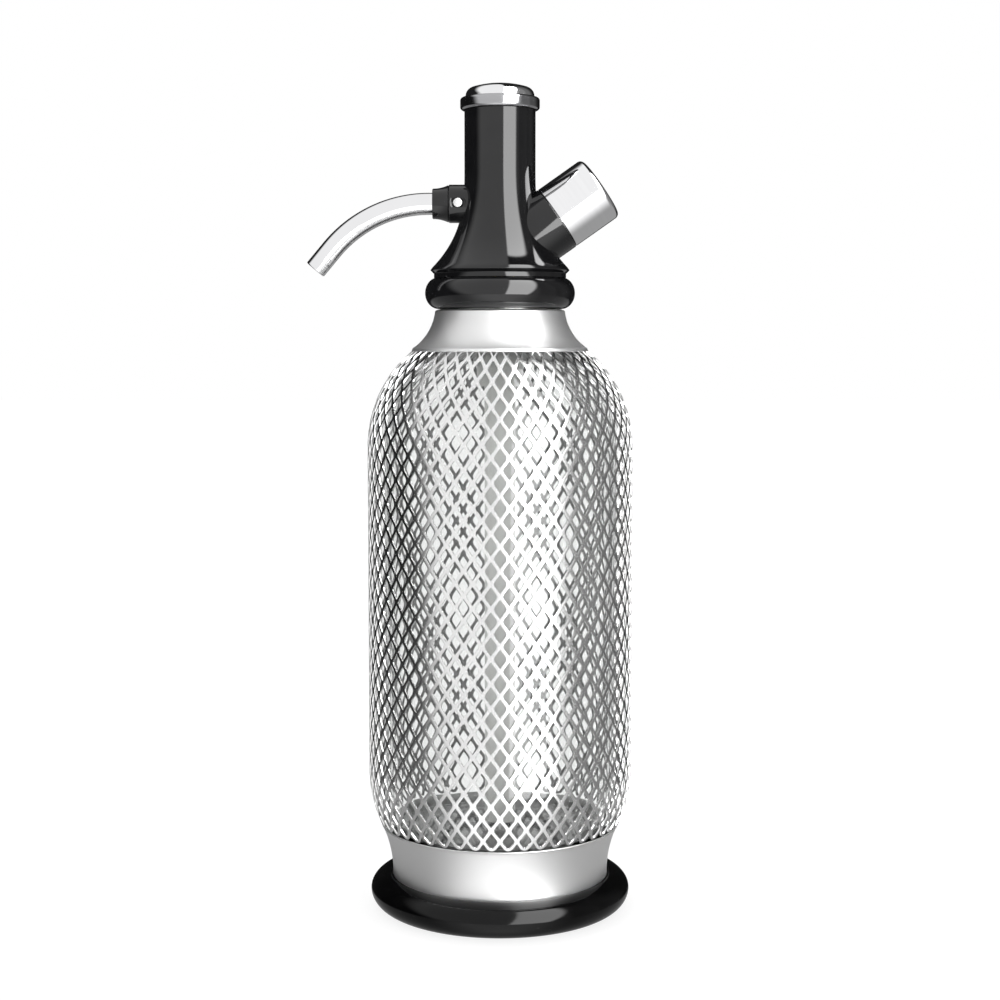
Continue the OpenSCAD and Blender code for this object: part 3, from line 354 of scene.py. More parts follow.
class Effects:
    """Shader node groups that several finishes share."""

    def __init__(self) -> None:
        """Builds the groups."""
        self.lathe = self.make_lathe()
        self.grain = self.make_grain()
        self.handling = self.make_handling()

    @staticmethod
    def make_lathe() -> bpy.types.NodeTree:
        """Fine lines round Z: noise over (distance from Z, height), nearly even along a circle.

        The third coordinate is the angle, at 0.4 millimetres for each radian.

        Returns:
            The group.
        """
        drawn_out = 0.4 * MM
        sheet = new_group("lathe_lines", {"Vector": (0.0, 0.0, 0.0), "Scale": 1.0, "Drift": 0.2},
                          {"Height": "NodeSocketFloat", "Tone": "NodeSocketFloat"})
        given = sheet.add("NodeGroupInput").outputs
        xyz = sheet.add("SeparateXYZ", i0=given["Vector"]).outputs
        radius = sheet.math("SQRT", sheet.math("ADD", sheet.math("MULTIPLY", xyz[0], xyz[0]),
                                               sheet.math("MULTIPLY", xyz[1], xyz[1])))
        round_it = sheet.math("MULTIPLY", sheet.math("ARCTAN2", xyz[1], xyz[0]), drawn_out)
        line = sheet.add("CombineXYZ", i0=radius, i1=round_it, i2=xyz[2]).outputs[0]
        fine = sheet.noise(line, given["Scale"], 3.0, Roughness=0.65)
        broad = sheet.noise(line, sheet.math("MULTIPLY", given["Scale"], given["Drift"]), 2.0)
        sheet.add("NodeGroupOutput", Height=fine, Tone=sheet.ramp(broad, 0.3, 0.7))
        return sheet.tree

    @staticmethod
    def make_grain() -> bpy.types.NodeTree:
        """Fine skin of a moulding or a casting: noise, and broader noise that tints it.

        Returns:
            The group.
        """
        broader = 0.08
        sheet = new_group("moulded_grain", {"Vector": (0.0, 0.0, 0.0), "Scale": 1.0},
                          {"Height": "NodeSocketFloat", "Tone": "NodeSocketFloat"})
        given = sheet.add("NodeGroupInput").outputs
        fine = sheet.noise(given["Vector"], given["Scale"], 4.0, Roughness=0.6)
        broad = sheet.noise(given["Vector"], sheet.math("MULTIPLY", given["Scale"], broader), 2.0)
        sheet.add("NodeGroupOutput", Height=fine, Tone=sheet.ramp(broad, 0.35, 0.65))
        return sheet.tree

    @staticmethod
    def make_handling() -> bpy.types.NodeTree:
        """Roughness that varies as on a wiped surface: base + spread (cloud + 0.5 streak - 0.75).

        Returns:
            The group.
        """
        sheet = new_group("handling", {"Vector": (0.0, 0.0, 0.0), "Base": 0.1, "Spread": 0.05},
                          {"Roughness": "NodeSocketFloat"})
        given = sheet.add("NodeGroupInput").outputs
        cloud_scale, streak_scale = 38.0, 170.0
        cloud = sheet.noise(given["Vector"], cloud_scale, 3.0)
        streak = sheet.noise(given["Vector"], streak_scale, 4.0, Distortion=1.2)
        both = sheet.math("SUBTRACT", sheet.math("ADD", cloud, sheet.math("MULTIPLY", streak, 0.5)), 0.75)
        rough = sheet.math("ADD", given["Base"], sheet.math("MULTIPLY", both, given["Spread"]))
        sheet.add("NodeGroupOutput", Roughness=sheet.math("MAXIMUM", rough, 0.0))
        return sheet.tree


@dataclass(frozen=True)
class Finish:
    """A finish of one of the siphon's materials."""

    name: str
    colour: tuple[float, float, float]
    second: tuple[float, float, float]
    roughness: float
    skin: Skin
    metallic: float = 0.0
    ior: float = 1.5
    spread: float = 0.03
    grain_scale: float = 2500.0
    bump: float = 0.0
    anisotropic: float = 0.0
    transmission: float = 0.0
    tilt: tuple[float, float, float] = (0.0, 0.0, 0.0)
    centre: tuple[float, float, float] = (0.0, 0.0, 0.0)

    def build(self, effects: Effects) -> bpy.types.Material:
        """Makes the material.

        Args:
            effects: The shared node groups.
        Returns:
            The material, made once for each name.
        """
        material = bpy.data.materials.get(self.name)
        if material is not None:
            return material
        material = bpy.data.materials.new(self.name)
        material.use_nodes = True
        material.node_tree.nodes.clear()
        sheet = NodeSheet(material.node_tree)
        place = sheet.add("TexCoord").outputs["Object"]
        place = sheet.add("Mapping", {"vector_type": "TEXTURE"}, Vector=place, Location=self.centre,
                          Rotation=self.tilt).outputs[0]
        shader = sheet.add("BsdfPrincipled", Metallic=self.metallic, IOR=self.ior,
                           Anisotropic=self.anisotropic, Transmission_Weight=self.transmission)
        group = effects.lathe if self.skin is Skin.SPUN else effects.grain
        skin = sheet.add("Group", {"node_tree": group}, Vector=place, Scale=self.grain_scale)
        tint = sheet.add("Mix", {"data_type": "RGBA"}, i0=skin.outputs["Tone"])
        tint.inputs[6].default_value = (*self.colour, 1.0)
        tint.inputs[7].default_value = (*self.second, 1.0)
        sheet.tree.links.new(tint.outputs[2], shader.inputs["Base Color"])
        rough = sheet.add("Group", {"node_tree": effects.handling}, Vector=place, Base=self.roughness,
                          Spread=self.spread)
        sheet.tree.links.new(rough.outputs[0], shader.inputs["Roughness"])
        if self.bump > 0.0:
            bump = sheet.add("Bump", Height=skin.outputs["Height"], Strength=1.0, Distance=self.bump * MM)
            sheet.tree.links.new(bump.outputs[0], shader.inputs["Normal"])
        sheet.add("OutputMaterial", Surface=shader.outputs[0])
        return material


PORT_TILT = (0.0, math.radians(55.0), 0.0)
PORT_FOOT = (0.0, 0.0, 0.25455)

GLASS = Finish("clear_glass", (0.92, 0.927, 0.922), (0.935, 0.94, 0.935), 0.0, Skin.EVEN, ior=1.5,
               spread=0.0, transmission=1.0, grain_scale=60.0)
MESH = Finish("bright_mesh", (0.83, 0.83, 0.825), (0.78, 0.78, 0.78), 0.18, Skin.EVEN, metallic=1.0,
              spread=0.06, grain_scale=900.0, bump=0.002)
# Painted shade: the sleeve's back is the same metal as its face, given a darker colour to stand for the
# shade behind the strands.
MESH_BACK_SHADE = replace(MESH, name="mesh_back_painted_shade", colour=(0.27, 0.27, 0.27), second=(0.23, 0.23, 0.23),
                    roughness=0.3)
SPUN = Finish("spun_steel", (0.74, 0.735, 0.73), (0.69, 0.685, 0.68), 0.13, Skin.SPUN, metallic=1.0,
              spread=0.05, grain_scale=3800.0, bump=0.003, anisotropic=0.3)
CHROME = Finish("chrome_plate", (0.84, 0.84, 0.85), (0.80, 0.80, 0.81), 0.04, Skin.EVEN, metallic=1.0,
                spread=0.03, grain_scale=400.0)
BEZEL = Finish("bezel_plate", (0.44, 0.44, 0.45), (0.40, 0.40, 0.41), 0.12, Skin.SPUN, metallic=1.0,
               spread=0.04, grain_scale=2600.0, bump=0.001)
CHROME_CAP = Finish("chrome_cap", (0.88, 0.88, 0.89), (0.85, 0.85, 0.86), 0.05, Skin.SPUN, metallic=1.0,
                    spread=0.03, grain_scale=2600.0, bump=0.0006, tilt=PORT_TILT, centre=PORT_FOOT)
ALLOY = Finish("turned_alloy", (0.66, 0.66, 0.65), (0.60, 0.60, 0.60), 0.24, Skin.SPUN, metallic=1.0,
               spread=0.06, grain_scale=3000.0, bump=0.004)
PORT_ALLOY = replace(ALLOY, name="turned_port", tilt=PORT_TILT, centre=PORT_FOOT)
HEAD_BLACK = Finish("head_moulding", (0.008, 0.008, 0.009), (0.011, 0.011, 0.012), 0.07, Skin.EVEN,
                    ior=1.52, spread=0.05, grain_scale=1400.0, bump=0.0008)
FOOT_BLACK = Finish("foot_moulding", (0.002, 0.002, 0.0022), (0.003, 0.003, 0.0032), 0.10, Skin.EVEN,
                    ior=1.31, spread=0.05, grain_scale=1600.0, bump=0.0015)
SEAT_GREY = Finish("seat_moulding", (0.60, 0.60, 0.60), (0.57, 0.57, 0.57), 0.5, Skin.EVEN,
                   spread=0.08, grain_scale=900.0, bump=0.002)
PAD_GREY = Finish("pad_rubber", (0.55, 0.55, 0.54), (0.52, 0.52, 0.51), 0.6, Skin.EVEN,
                  spread=0.08, grain_scale=900.0, bump=0.003)
TUBE = Finish("tube_plastic", (0.95, 0.955, 0.935), (0.92, 0.925, 0.90), 0.30, Skin.EVEN,
              spread=0.06, grain_scale=700.0, bump=0.002)
RUBBER = Finish("black_rubber", (0.03, 0.03, 0.03), (0.045, 0.045, 0.045), 0.62, Skin.EVEN,
                spread=0.1, grain_scale=2200.0, bump=0.01)
BRASS = Finish("turned_brass", (0.62, 0.48, 0.24), (0.55, 0.42, 0.20), 0.26, Skin.SPUN, metallic=1.0,
               spread=0.06, grain_scale=3000.0, bump=0.004)
WIRE = Finish("spring_wire", (0.56, 0.56, 0.58), (0.48, 0.48, 0.50), 0.22, Skin.EVEN, metallic=1.0,
              spread=0.06, grain_scale=1800.0, bump=0.002)
PIN = Finish("pin_steel", (0.80, 0.80, 0.80), (0.74, 0.74, 0.74), 0.12, Skin.EVEN, metallic=1.0,
             spread=0.05, grain_scale=1800.0, bump=0.001)


# Making pieces


class Workshop:
    """Turns surfaces into pieces of the object."""

    def __init__(self) -> None:
        """Builds the shared effects."""
        self.effects = Effects()

    def piece(self, name: str, surface: Surface, finish: Finish, body: str, slot: str,
              *nodes: str) -> bpy.types.Object:
        """Makes a piece that rides on a body and stands for CAD nodes.

        Args:
            name: The piece's name.
            surface: Its mesh in millimetres.
            finish: Its finish.
            body: The CAD body that it rides on.
            slot: The record's material slot; passed on to seat but not used.
            nodes: CAD nodes that it stands for.
        Returns:
            The object.
        """
        mesh = self.mesh(name, surface)
        thing = bpy.data.objects.new(name, mesh)
        bpy.context.collection.objects.link(thing)
        mesh.materials.append(finish.build(self.effects))
        self.seat(thing, body, slot, *nodes)
        return thing

    @staticmethod
    def mesh(name: str, surface: Surface) -> bpy.types.Mesh:
        """Puts a surface into a Blender mesh in metres, smooth but for its crisp edges.

        Args:
            name: The mesh's name.
            surface: The surface.
        Returns:
            The mesh.
        """
        mesh = bpy.data.meshes.new(name)
        corners = np.concatenate([surface.quads.ravel(), surface.triangles.ravel()]).astype(np.int32)
        sizes = np.repeat([4, 3], [len(surface.quads), len(surface.triangles)])
        starts = (np.cumsum(sizes) - sizes).astype(np.int32)
        mesh.vertices.add(len(surface.points))
        mesh.vertices.foreach_set("co", (surface.points * MM).astype(np.float32).ravel())
        mesh.loops.add(len(corners))
        mesh.loops.foreach_set("vertex_index", corners)
        mesh.polygons.add(len(sizes))
        mesh.polygons.foreach_set("loop_start", starts)
        mesh.update(calc_edges=True)
        mesh.validate()
        mesh.shade_smooth()
        mesh.set_sharp_from_angle(angle=SHARP)
        return mesh

    @staticmethod
    def seat(thing: bpy.types.Object, body: str, slot: str, *nodes: str) -> None:
        """Hangs a piece on its body and hides the nodes that it stands for.

        Args:
            thing: The piece.
            body: The CAD body that it rides on.
            slot: The record's material slot; not used.
            nodes: CAD nodes that it stands for.
        """
        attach(thing, body)
        if nodes:
            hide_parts(*nodes)
        LOG.info("%s on %s, %d faces", thing.name, body, len(thing.data.polygons))

    def dress(self, node: str, finish: Finish) -> None:
        """Gives a CAD node's object a finish.

        Args:
            node: The CAD node's name.
            finish: Its finish.
        """
        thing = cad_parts[node]
        material = finish.build(self.effects)
        if not thing.material_slots:
            thing.data.materials.append(material)
        for place in thing.material_slots:
            place.material = material
        LOG.info("%s dressed in %s", node, finish.name)


@dataclass
class Body:
    """Outline that the glass, the sleeve, the collar and the band share."""

    radius: float = 51.5
    wall_low: float = 55.0
    wall_high: float = 182.0
    shoulder_arc: float = 48.0
    heel_arc: float = 50.0
    heel_drop: float = 20.4

    def at(self, station: np.ndarray, depth: np.ndarray | float = 0.0) -> tuple[np.ndarray, np.ndarray]:
        """Radius and height at a distance along the outline from the sleeve's bottom edge.

        The outline is an arc of the heel, the straight wall and an arc of the shoulder, each
        drawn in by the depth along its own normal.

        Args:
            station: Distances along the outline.
            depth: Depths under it.
        Returns:
            Radii and heights.
        """
        heel_run, wall = self.heel_run(), self.wall_high - self.wall_low
        low = np.minimum(station - heel_run, 0.0) / self.heel_arc
        high = np.maximum(station - heel_run - wall, 0.0) / self.shoulder_arc
        mid = np.clip(station - heel_run, 0.0, wall)
        heel, shoulder = self.heel_arc - depth, self.shoulder_arc - depth
        radius = np.where(station < heel_run, self.radius - self.heel_arc + heel * np.cos(low),
                          self.radius - self.shoulder_arc + shoulder * np.cos(high))
        height = self.wall_low + mid + heel * np.sin(low) + shoulder * np.sin(high)
        return radius, height

    def heel_run(self) -> float:
        """Length of the heel's arc."""
        return self.heel_arc * math.asin(self.heel_drop / self.heel_arc)

    def swept(self, station: np.ndarray) -> np.ndarray:
        """Integral of the radius along the outline, from the sleeve's bottom edge to a station.

        The part of the outline between two stations sweeps 2 pi times the difference.

        Args:
            station: Distances along the outline.
        Returns:
            The integrals, under zero below the edge.
        """
        heel_run, wall = self.heel_run(), self.wall_high - self.wall_low
        beyond = np.maximum(station - heel_run - wall, 0.0)
        low, high = np.minimum(station - heel_run, 0.0) / self.heel_arc, beyond / self.shoulder_arc
        plain = ((self.radius - self.heel_arc) * np.minimum(station, heel_run)
                 + self.radius * np.clip(station - heel_run, 0.0, wall)
                 + (self.radius - self.shoulder_arc) * beyond)
        return (plain + self.heel_arc**2 * (np.sin(low) + self.heel_drop / self.heel_arc)
                + self.shoulder_arc**2 * np.sin(high))


@dataclass
class Sleeve:
    """The expanded-metal sleeve: one sheet of flat strands round diamond holes.

    Stations are distances along the body's outline. diamond is the height of a hole with its
    strand on the straight wall, and loop_drop how far the lowest joints lie under the edge.
    crown, wall_foot and shoulder shape the section of a strand. blunt, acute and loop are the
    radii of a hole's side corners, of its upper and lower corners and of the lowest loops.
    """

    body: Body = field(default_factory=Body)
    holes_round: int = 48
    rows: int = 41
    diamond: float = 9.2
    loop_drop: float = 1.28
    high_station: float = 193.6
    strand: float = 1.34
    thickness: float = 0.62
    crown: float = 0.025
    wall_foot: float = 0.8
    shoulder: float = 0.16
    blunt: float = 1.6
    acute: float = 0.18
    loop: float = 0.8

    def levels(self) -> np.ndarray:
        """Stations of the joints where strands meet.

        The sheet keeps the area of its holes where the body narrows, so the integral of the
        radius grows by the same amount from row to row.

        Returns:
            The stations, one more than the rows.
        """
        below_edge, samples = 4.0, 1200
        stations = np.linspace(-below_edge, self.high_station, samples)
        start = self.loop_drop * float(self.body.at(np.array(0.0))[0])
        wanted = 0.5 * self.diamond * self.body.radius * np.arange(self.rows + 1) - start
        return np.interp(wanted, self.body.swept(stations), stations)

    def rings(self, up: np.ndarray, down: np.ndarray, half: np.ndarray) -> tuple[np.ndarray, ...]:
        """Two closed rings of 16 points for each row of diamonds, in (side, rise) from its middle.

        The outer ring is the diamond through the strands' middle lines, with points at a fifth,
        a half and four fifths of each side. The inner ring is the hole: the diamond drawn in by
        half a strand, with rounded corners. The lowest row ends in round loops, so there the
        lower half of the outer ring runs at half a strand from the hole.

        Args:
            up, down: Height of the diamond over and under its middle, one for each row.
            half: Half width of the diamond, one for each row.
        Returns:
            The outer ring, the inner ring and the inner ring's directions away from the hole,
            each rows by 16 by 2.
        """
        zero = np.zeros_like(half)
        corners = np.stack([np.stack([half, zero], 1), np.stack([zero, up], 1),
                            np.stack([-half, zero], 1), np.stack([zero, -down], 1)], 1)
        following = np.roll(corners, -1, axis=1)
        share = np.array([0.0, 0.2, 0.5, 0.8])[None, None, :, None]
        outer = corners[:, :, None] * (1 - share) + following[:, :, None] * share
        outer = outer.reshape(len(half), 16, 2)
        drawn = corners * (1.0 - 0.5 * self.strand / self.inset(corners, following))[:, None, None]
        back, ahead = np.roll(drawn, 1, axis=1) - drawn, np.roll(drawn, -1, axis=1) - drawn
        bisector = (back / np.linalg.norm(back, axis=2, keepdims=True)
                    + ahead / np.linalg.norm(ahead, axis=2, keepdims=True))
        bisector /= np.linalg.norm(bisector, axis=2, keepdims=True)
        half_angle = np.arccos(np.clip((back * bisector).sum(2) / np.linalg.norm(back, axis=2), -1.0, 1.0))
        radius = np.tile([self.blunt, self.acute, self.blunt, self.acute], (len(half), 1))
        radius[0, 3] = self.loop
        centre = drawn + bisector * (radius / np.sin(half_angle))[:, :, None]
        corner = np.repeat([0, 1, 2, 3], [3, 5, 3, 5])
        place = np.array([-1.0, 0.0, 1.0, -1.0, -0.5, 0.0, 0.5, 1.0] * 2)
        turn = (np.arctan2(-bisector[:, :, 1], -bisector[:, :, 0])[:, corner]
                + (0.5 * math.pi - half_angle)[:, corner] * place)
        away = np.stack([np.cos(turn), np.sin(turn)], axis=2)
        inner = np.roll(centre[:, corner] + radius[:, corner, None] * away, -1, axis=1)
        away = np.roll(away, -1, axis=1)
        outer[0, 9:] = inner[0, 9:] + 0.5 * self.strand * away[0, 9:]
        return outer, inner, away

    @staticmethod
    def inset(corners: np.ndarray, following: np.ndarray) -> np.ndarray:
        """Distance from the middle of each diamond to its sides, the mean over the four sides.

        Args:
            corners: Corners of the diamonds, rows by 4 by 2.
            following: The corner after each.
        Returns:
            The distances, one for each row.
        """
        side = following - corners
        cross = np.abs(corners[..., 0] * side[..., 1] - corners[..., 1] * side[..., 0])
        return (cross / np.linalg.norm(side, axis=2)).mean(axis=1)

    def laid(self, middle: np.ndarray, half: np.ndarray, rings: np.ndarray, closed: bool) -> Surface:
        """Lays rows of rings on the body, once for each hole round it.

        A point (side, rise, depth) of row k goes to the angle (column + k/2) pitch + side / r and
        to the station of the row plus rise.

        Args:
            middle: Stations of the rows, from the lowest.
            half: Half width of a diamond, one for each row.
            rings: Rows by points by 4 rings by 2.
            closed: Whether the last point of a ring meets the first.
        Returns:
            The surface between the four rings, which lie on the face, the crown's edge, the
            wall's foot and the back.
        """
        depth = np.array([0.0, self.crown, self.thickness * self.wall_foot, self.thickness])
        pitch = TURN / self.holes_round
        column = np.arange(self.holes_round)[None, :, None, None]
        row = (np.arange(1, len(middle) + 1) % 2 * 0.5)[:, None, None, None]
        share = rings[:, None, :, :, 0] / half[:, None, None, None] * 0.5
        angle = (column + row + share) * pitch
        r, z = self.body.at(middle[:, None, None, None] + rings[:, None, :, :, 1] + 0.0 * column, depth)
        points = np.stack([r * np.cos(angle), r * np.sin(angle), z], axis=-1)
        ids = np.arange(points.size // 3).reshape(points.shape[:-1])
        a, b = ids[..., :-1], ids[..., 1:]
        quads = np.stack([a, np.roll(a, -1, axis=2), np.roll(b, -1, axis=2), b], axis=-1)
        if not closed:
            quads = quads[:, :, :-1]
        return Surface(points.reshape(-1, 3), quads.reshape(-1, 4), np.zeros((0, 3), int))

    @staticmethod
    def backs(count: int) -> np.ndarray:
        """Tells the faces of the sheet's back from the others; the back gets a darker copy of the mesh
        metal as painted shade.

        Every third face, from the third on, joins the wall's foot to the middle line behind.

        Args:
            count: Number of faces.
        Returns:
            1 for a face of the back and 0 for any other.
        """
        return (np.arange(count) % 3 == 2).astype(np.int32)

    def surface(self) -> Surface:
        """Builds the sheet and the outer half of the lowest row's loops.

        Returns:
            The welded surface.
        """
        levels = self.levels()
        middle = levels[1:-1]
        half = math.pi * self.body.at(middle)[0] / self.holes_round
        outer, inner, away = self.rings(levels[2:] - middle, middle - levels[:-2], half)
        flare = (outer - inner) / np.linalg.norm(outer - inner, axis=2, keepdims=True)
        rings = np.stack([outer, inner + flare * self.shoulder, inner, outer], axis=2)
        sheet = self.laid(middle, half, rings, True)
        width, drop = half[0], middle[0] - levels[0]
        mitre = np.array([[0.0, -math.hypot(width, drop) / width]])
        line = np.vstack([outer[0, 8:], outer[0, :1]])
        out = np.vstack([mitre, away[0, 9:], mitre])
        reach = 0.5 * self.strand
        loops = np.stack([line, line + out * (reach - self.shoulder), line + out * reach, line], axis=1)
        return joined(sheet, self.laid(middle[:1], half[:1], loops[None], False).flipped()).welded()


@dataclass
class Bottle:
    """Glass, sleeve, collar, neck ring, band, foot, seat, pad and the tubes in the bottle."""

    shop: Workshop
    body: Body = field(default_factory=Body)
    glass_depth: float = 1.52
    glass_wall: float = 4.5
    glass_floor: float = 7.5
    glass_low: float = 23.2
    glass_corner: float = 14.0
    punt_r: float = 22.0
    punt_h: float = 2.0
    neck_r: float = 16.5
    neck_fillet: float = 6.0
    bead_r: float = 17.8
    bead_h: float = 2.8
    bead_edge: float = 0.9
    mouth: float = 242.4
    mouth_edge: float = 0.4
    collar_low: float = 218.65
    collar_top: float = 235.0
    collar_top_r: float = 25.0
    collar_arc: float = 19.8
    collar_lift: float = 1.5
    collar_t: float = 0.8
    collar_depth: float = 0.2
    collar_roll: float = 0.42
    collar_edge: float = 2.6
    collar_drop: float = 1.0
    thread_r: float = 21.5
    thread_depth: float = 0.75
    ring_top: float = 242.0
    ring_edge: float = 0.5
    ring_skirt: float = 8.5
    flange_r: float = 23.6
    flange_t: float = 1.8
    foot_r: float = 51.0
    foot_h: float = 15.0
    foot_top: float = 13.9
    foot_in: float = 34.0
    foot_edge: float = 0.4
    foot_web: float = 3.0
    band_low_r: float = 42.3
    band_flare: float = 20.0
    band_top: float = 33.55
    band_t: float = 0.8
    riser_r: float = 6.0
    riser_wall: float = 1.1
    riser_edge: float = 0.3
    riser_low: float = 33.7
    riser_top: float = 249.4

    def body_r(self, z: float, depth: float = 0.0) -> float:
        """Radius of the body's outline at a height over the wall or under it.

        Args:
            z: The height.
            depth: Depth under the outline, along its normal.
        Returns:
            The radius.
        """
        b = self.body
        if z > b.wall_high:
            arc_r, rise = b.shoulder_arc, z - b.wall_high
        else:
            arc_r, rise = b.heel_arc, b.wall_low - z
        return b.radius - arc_r + math.sqrt((arc_r - depth) ** 2 - rise**2)

    def glass(self) -> Surface:
        """Turns the glass: corner, heel, wall, shoulder, neck and bead outside, the same inside.

        Returns:
            The glass's surface, inside and outside in one.
        """
        b = self.body
        shoulder, heel = b.shoulder_arc - self.glass_depth, b.heel_arc - self.glass_depth
        sc, hc = b.radius - b.shoulder_arc, b.radius - b.heel_arc
        neck_c = self.neck_r + self.neck_fillet
        neck_z = b.wall_high + math.sqrt((shoulder + self.neck_fillet) ** 2 - (neck_c - sc) ** 2)
        turn = math.degrees(math.atan2(neck_z - b.wall_high, neck_c - sc))
        bore = self.neck_r - self.glass_wall
        corner_z = self.glass_low + self.glass_corner
        tilt = math.asin((b.wall_low - corner_z) / (heel - self.glass_corner))
        corner_c = hc + (heel - self.glass_corner) * math.cos(tilt)
        floor = self.glass_low + self.glass_floor
        inner_corner = self.glass_corner - self.glass_wall
        inner_z, inner_heel = floor + inner_corner, heel - self.glass_wall
        inner_tilt = math.asin((b.wall_low - inner_z) / (inner_heel - inner_corner))
        inner_c = hc + (inner_heel - inner_corner) * math.cos(inner_tilt)
        bead_low = self.mouth - self.bead_h
        punt = (self.punt_r**2 + self.punt_h**2) / (2 * self.punt_h)
        punt_turn = math.degrees(math.asin(self.punt_r / punt))
        return turned(outline(
            arc(0, self.glass_low + self.punt_h - punt, punt, 90, 90 - punt_turn, 8),
            arc(corner_c, corner_z, self.glass_corner, -90, -math.degrees(tilt), 20),
            arc(hc, b.wall_low, heel, -math.degrees(tilt), 0, 20),
            arc(sc, b.wall_high, shoulder, 0, turn, 32),
            arc(neck_c, neck_z, self.neck_fillet, 180 + turn, 180, 12),
            (self.neck_r, bead_low),
            arc(self.bead_r - self.bead_edge, bead_low + self.bead_edge, self.bead_edge, -90, 0, 6),
            arc(self.bead_r - self.bead_edge, self.mouth - self.bead_edge, self.bead_edge, 0, 90, 6),
            (bore + self.mouth_edge, self.mouth), (bore, self.mouth - self.mouth_edge),
            arc(neck_c, neck_z, self.neck_fillet + self.glass_wall, 180, 180 + turn, 14),
            arc(sc, b.wall_high, shoulder - self.glass_wall, turn, 0, 32),
            arc(hc, b.wall_low, inner_heel, 0, -math.degrees(inner_tilt), 20),
            arc(inner_c, inner_z, inner_corner, -math.degrees(inner_tilt), -90, 16),
            (0, floor)), 224)

    def collar(self) -> Surface:
        """Turns the collar: a hollow curve outside and inside, a rounded top and a rolled lower edge.

        Returns:
            The collar's surface.
        """
        low_r = self.body_r(self.collar_low, self.collar_depth)
        roll = self.collar_roll
        cx, cz = self.collar_top_r + self.collar_arc, self.collar_top + self.collar_lift
        turn = math.degrees(math.acos((cx - low_r) / self.collar_arc))
        edge, drop = self.collar_edge, self.collar_drop
        start = math.degrees(math.asin((self.collar_lift + drop) / self.collar_arc))
        start_r = cx - self.collar_arc * math.cos(math.radians(start))
        return turned(outline(
            arc(low_r - 0.4, self.collar_low + roll, roll, -90, -8, 5),
            arc(cx, cz, self.collar_arc, 178.8 + turn, 180 + start, 40),
            oval(start_r - edge, self.collar_top - drop, edge, drop, 0, 90, 10),
            (self.thread_r + FIT, self.collar_top), (self.thread_r + FIT, self.collar_top - self.collar_t),
            (start_r - edge, self.collar_top - self.collar_t),
            arc(cx, cz, self.collar_arc + self.collar_t, 180 + start, 180 + turn, 30),
            (low_r - self.collar_t, self.collar_low)), 224)

    def neck_ring(self) -> Surface:
        """Turns the neck ring, with a thread above its flange.

        Returns:
            The neck ring's surface.
        """
        high = self.collar_top - self.collar_t - FIT
        low, edge = high - self.flange_t, self.ring_edge
        foot, neck, bead = low - self.ring_skirt, self.neck_r + FIT, self.bead_r + FIT
        step = self.mouth - self.bead_h - FIT
        return turned(outline(
            (neck, foot), (self.thread_r - edge, foot), (self.thread_r, foot + edge), (self.thread_r, low),
            (self.flange_r, low), (self.flange_r, high), (self.thread_r, high),
            upright(self.thread_r, high + 0.9, self.ring_top - edge, 60),
            (self.thread_r - edge, self.ring_top), (bead, self.ring_top), (bead, step), (neck, step)), 192,
            thread(self.thread_r, self.thread_depth, high + 1.2, self.ring_top - 0.7))

    def band(self) -> Surface:
        """Turns the band: a straight foot, a flare and a rolled rim.

        Returns:
            The band's surface.
        """
        top_r = self.body_r(self.band_top)
        spread = top_r - self.band_low_r
        radius = (self.band_flare**2 + spread**2) / (2 * spread)
        turn = math.degrees(math.asin(self.band_flare / radius))
        cx, cz = self.band_low_r + radius, self.band_top - self.band_flare
        inner = radius + self.band_t
        inner_turn = math.degrees(math.asin(self.band_flare / inner))
        return turned(outline(
            (self.band_low_r - self.band_t, self.foot_web), (self.band_low_r, self.foot_web),
            arc(cx, cz, radius, 180, 180.6 - turn, 32),
            arc(top_r - 0.4, self.band_top - 0.38, 0.38, 10, 170, 8),
            arc(cx, cz, inner, 180.6 - inner_turn, 180, 24)), 224)

    def foot(self) -> Surface:
        """Turns the foot ring: an oval bulge that rolls over to a thin lip at the band.

        The points after the upper quarter draw a fine groove and the lip's rounded edge.

        Returns:
            The foot ring's surface.
        """
        bulge, half = self.foot_r - self.band_low_r, self.foot_h / 2
        lip, top, web = self.band_low_r + FIT, self.foot_top, self.foot_web - FIT
        return turned(outline(
            (self.foot_in, self.foot_edge), (self.foot_in + self.foot_edge, 0),
            oval(self.band_low_r, half, bulge, half, -90, 0, 28)[:-1],
            oval(self.band_low_r, half, bulge, top - half, 0, 80, 26),
            arc(self.band_low_r + 1.05, top - 0.42, 0.25, 60, 150, 4),
            (self.band_low_r + 0.72, top - 0.62),
            arc(self.band_low_r + 0.4, top - 0.62, 0.3, 30, 180, 6),
            (lip, top - 1.6), (lip, web), (self.foot_in, web)), 224)

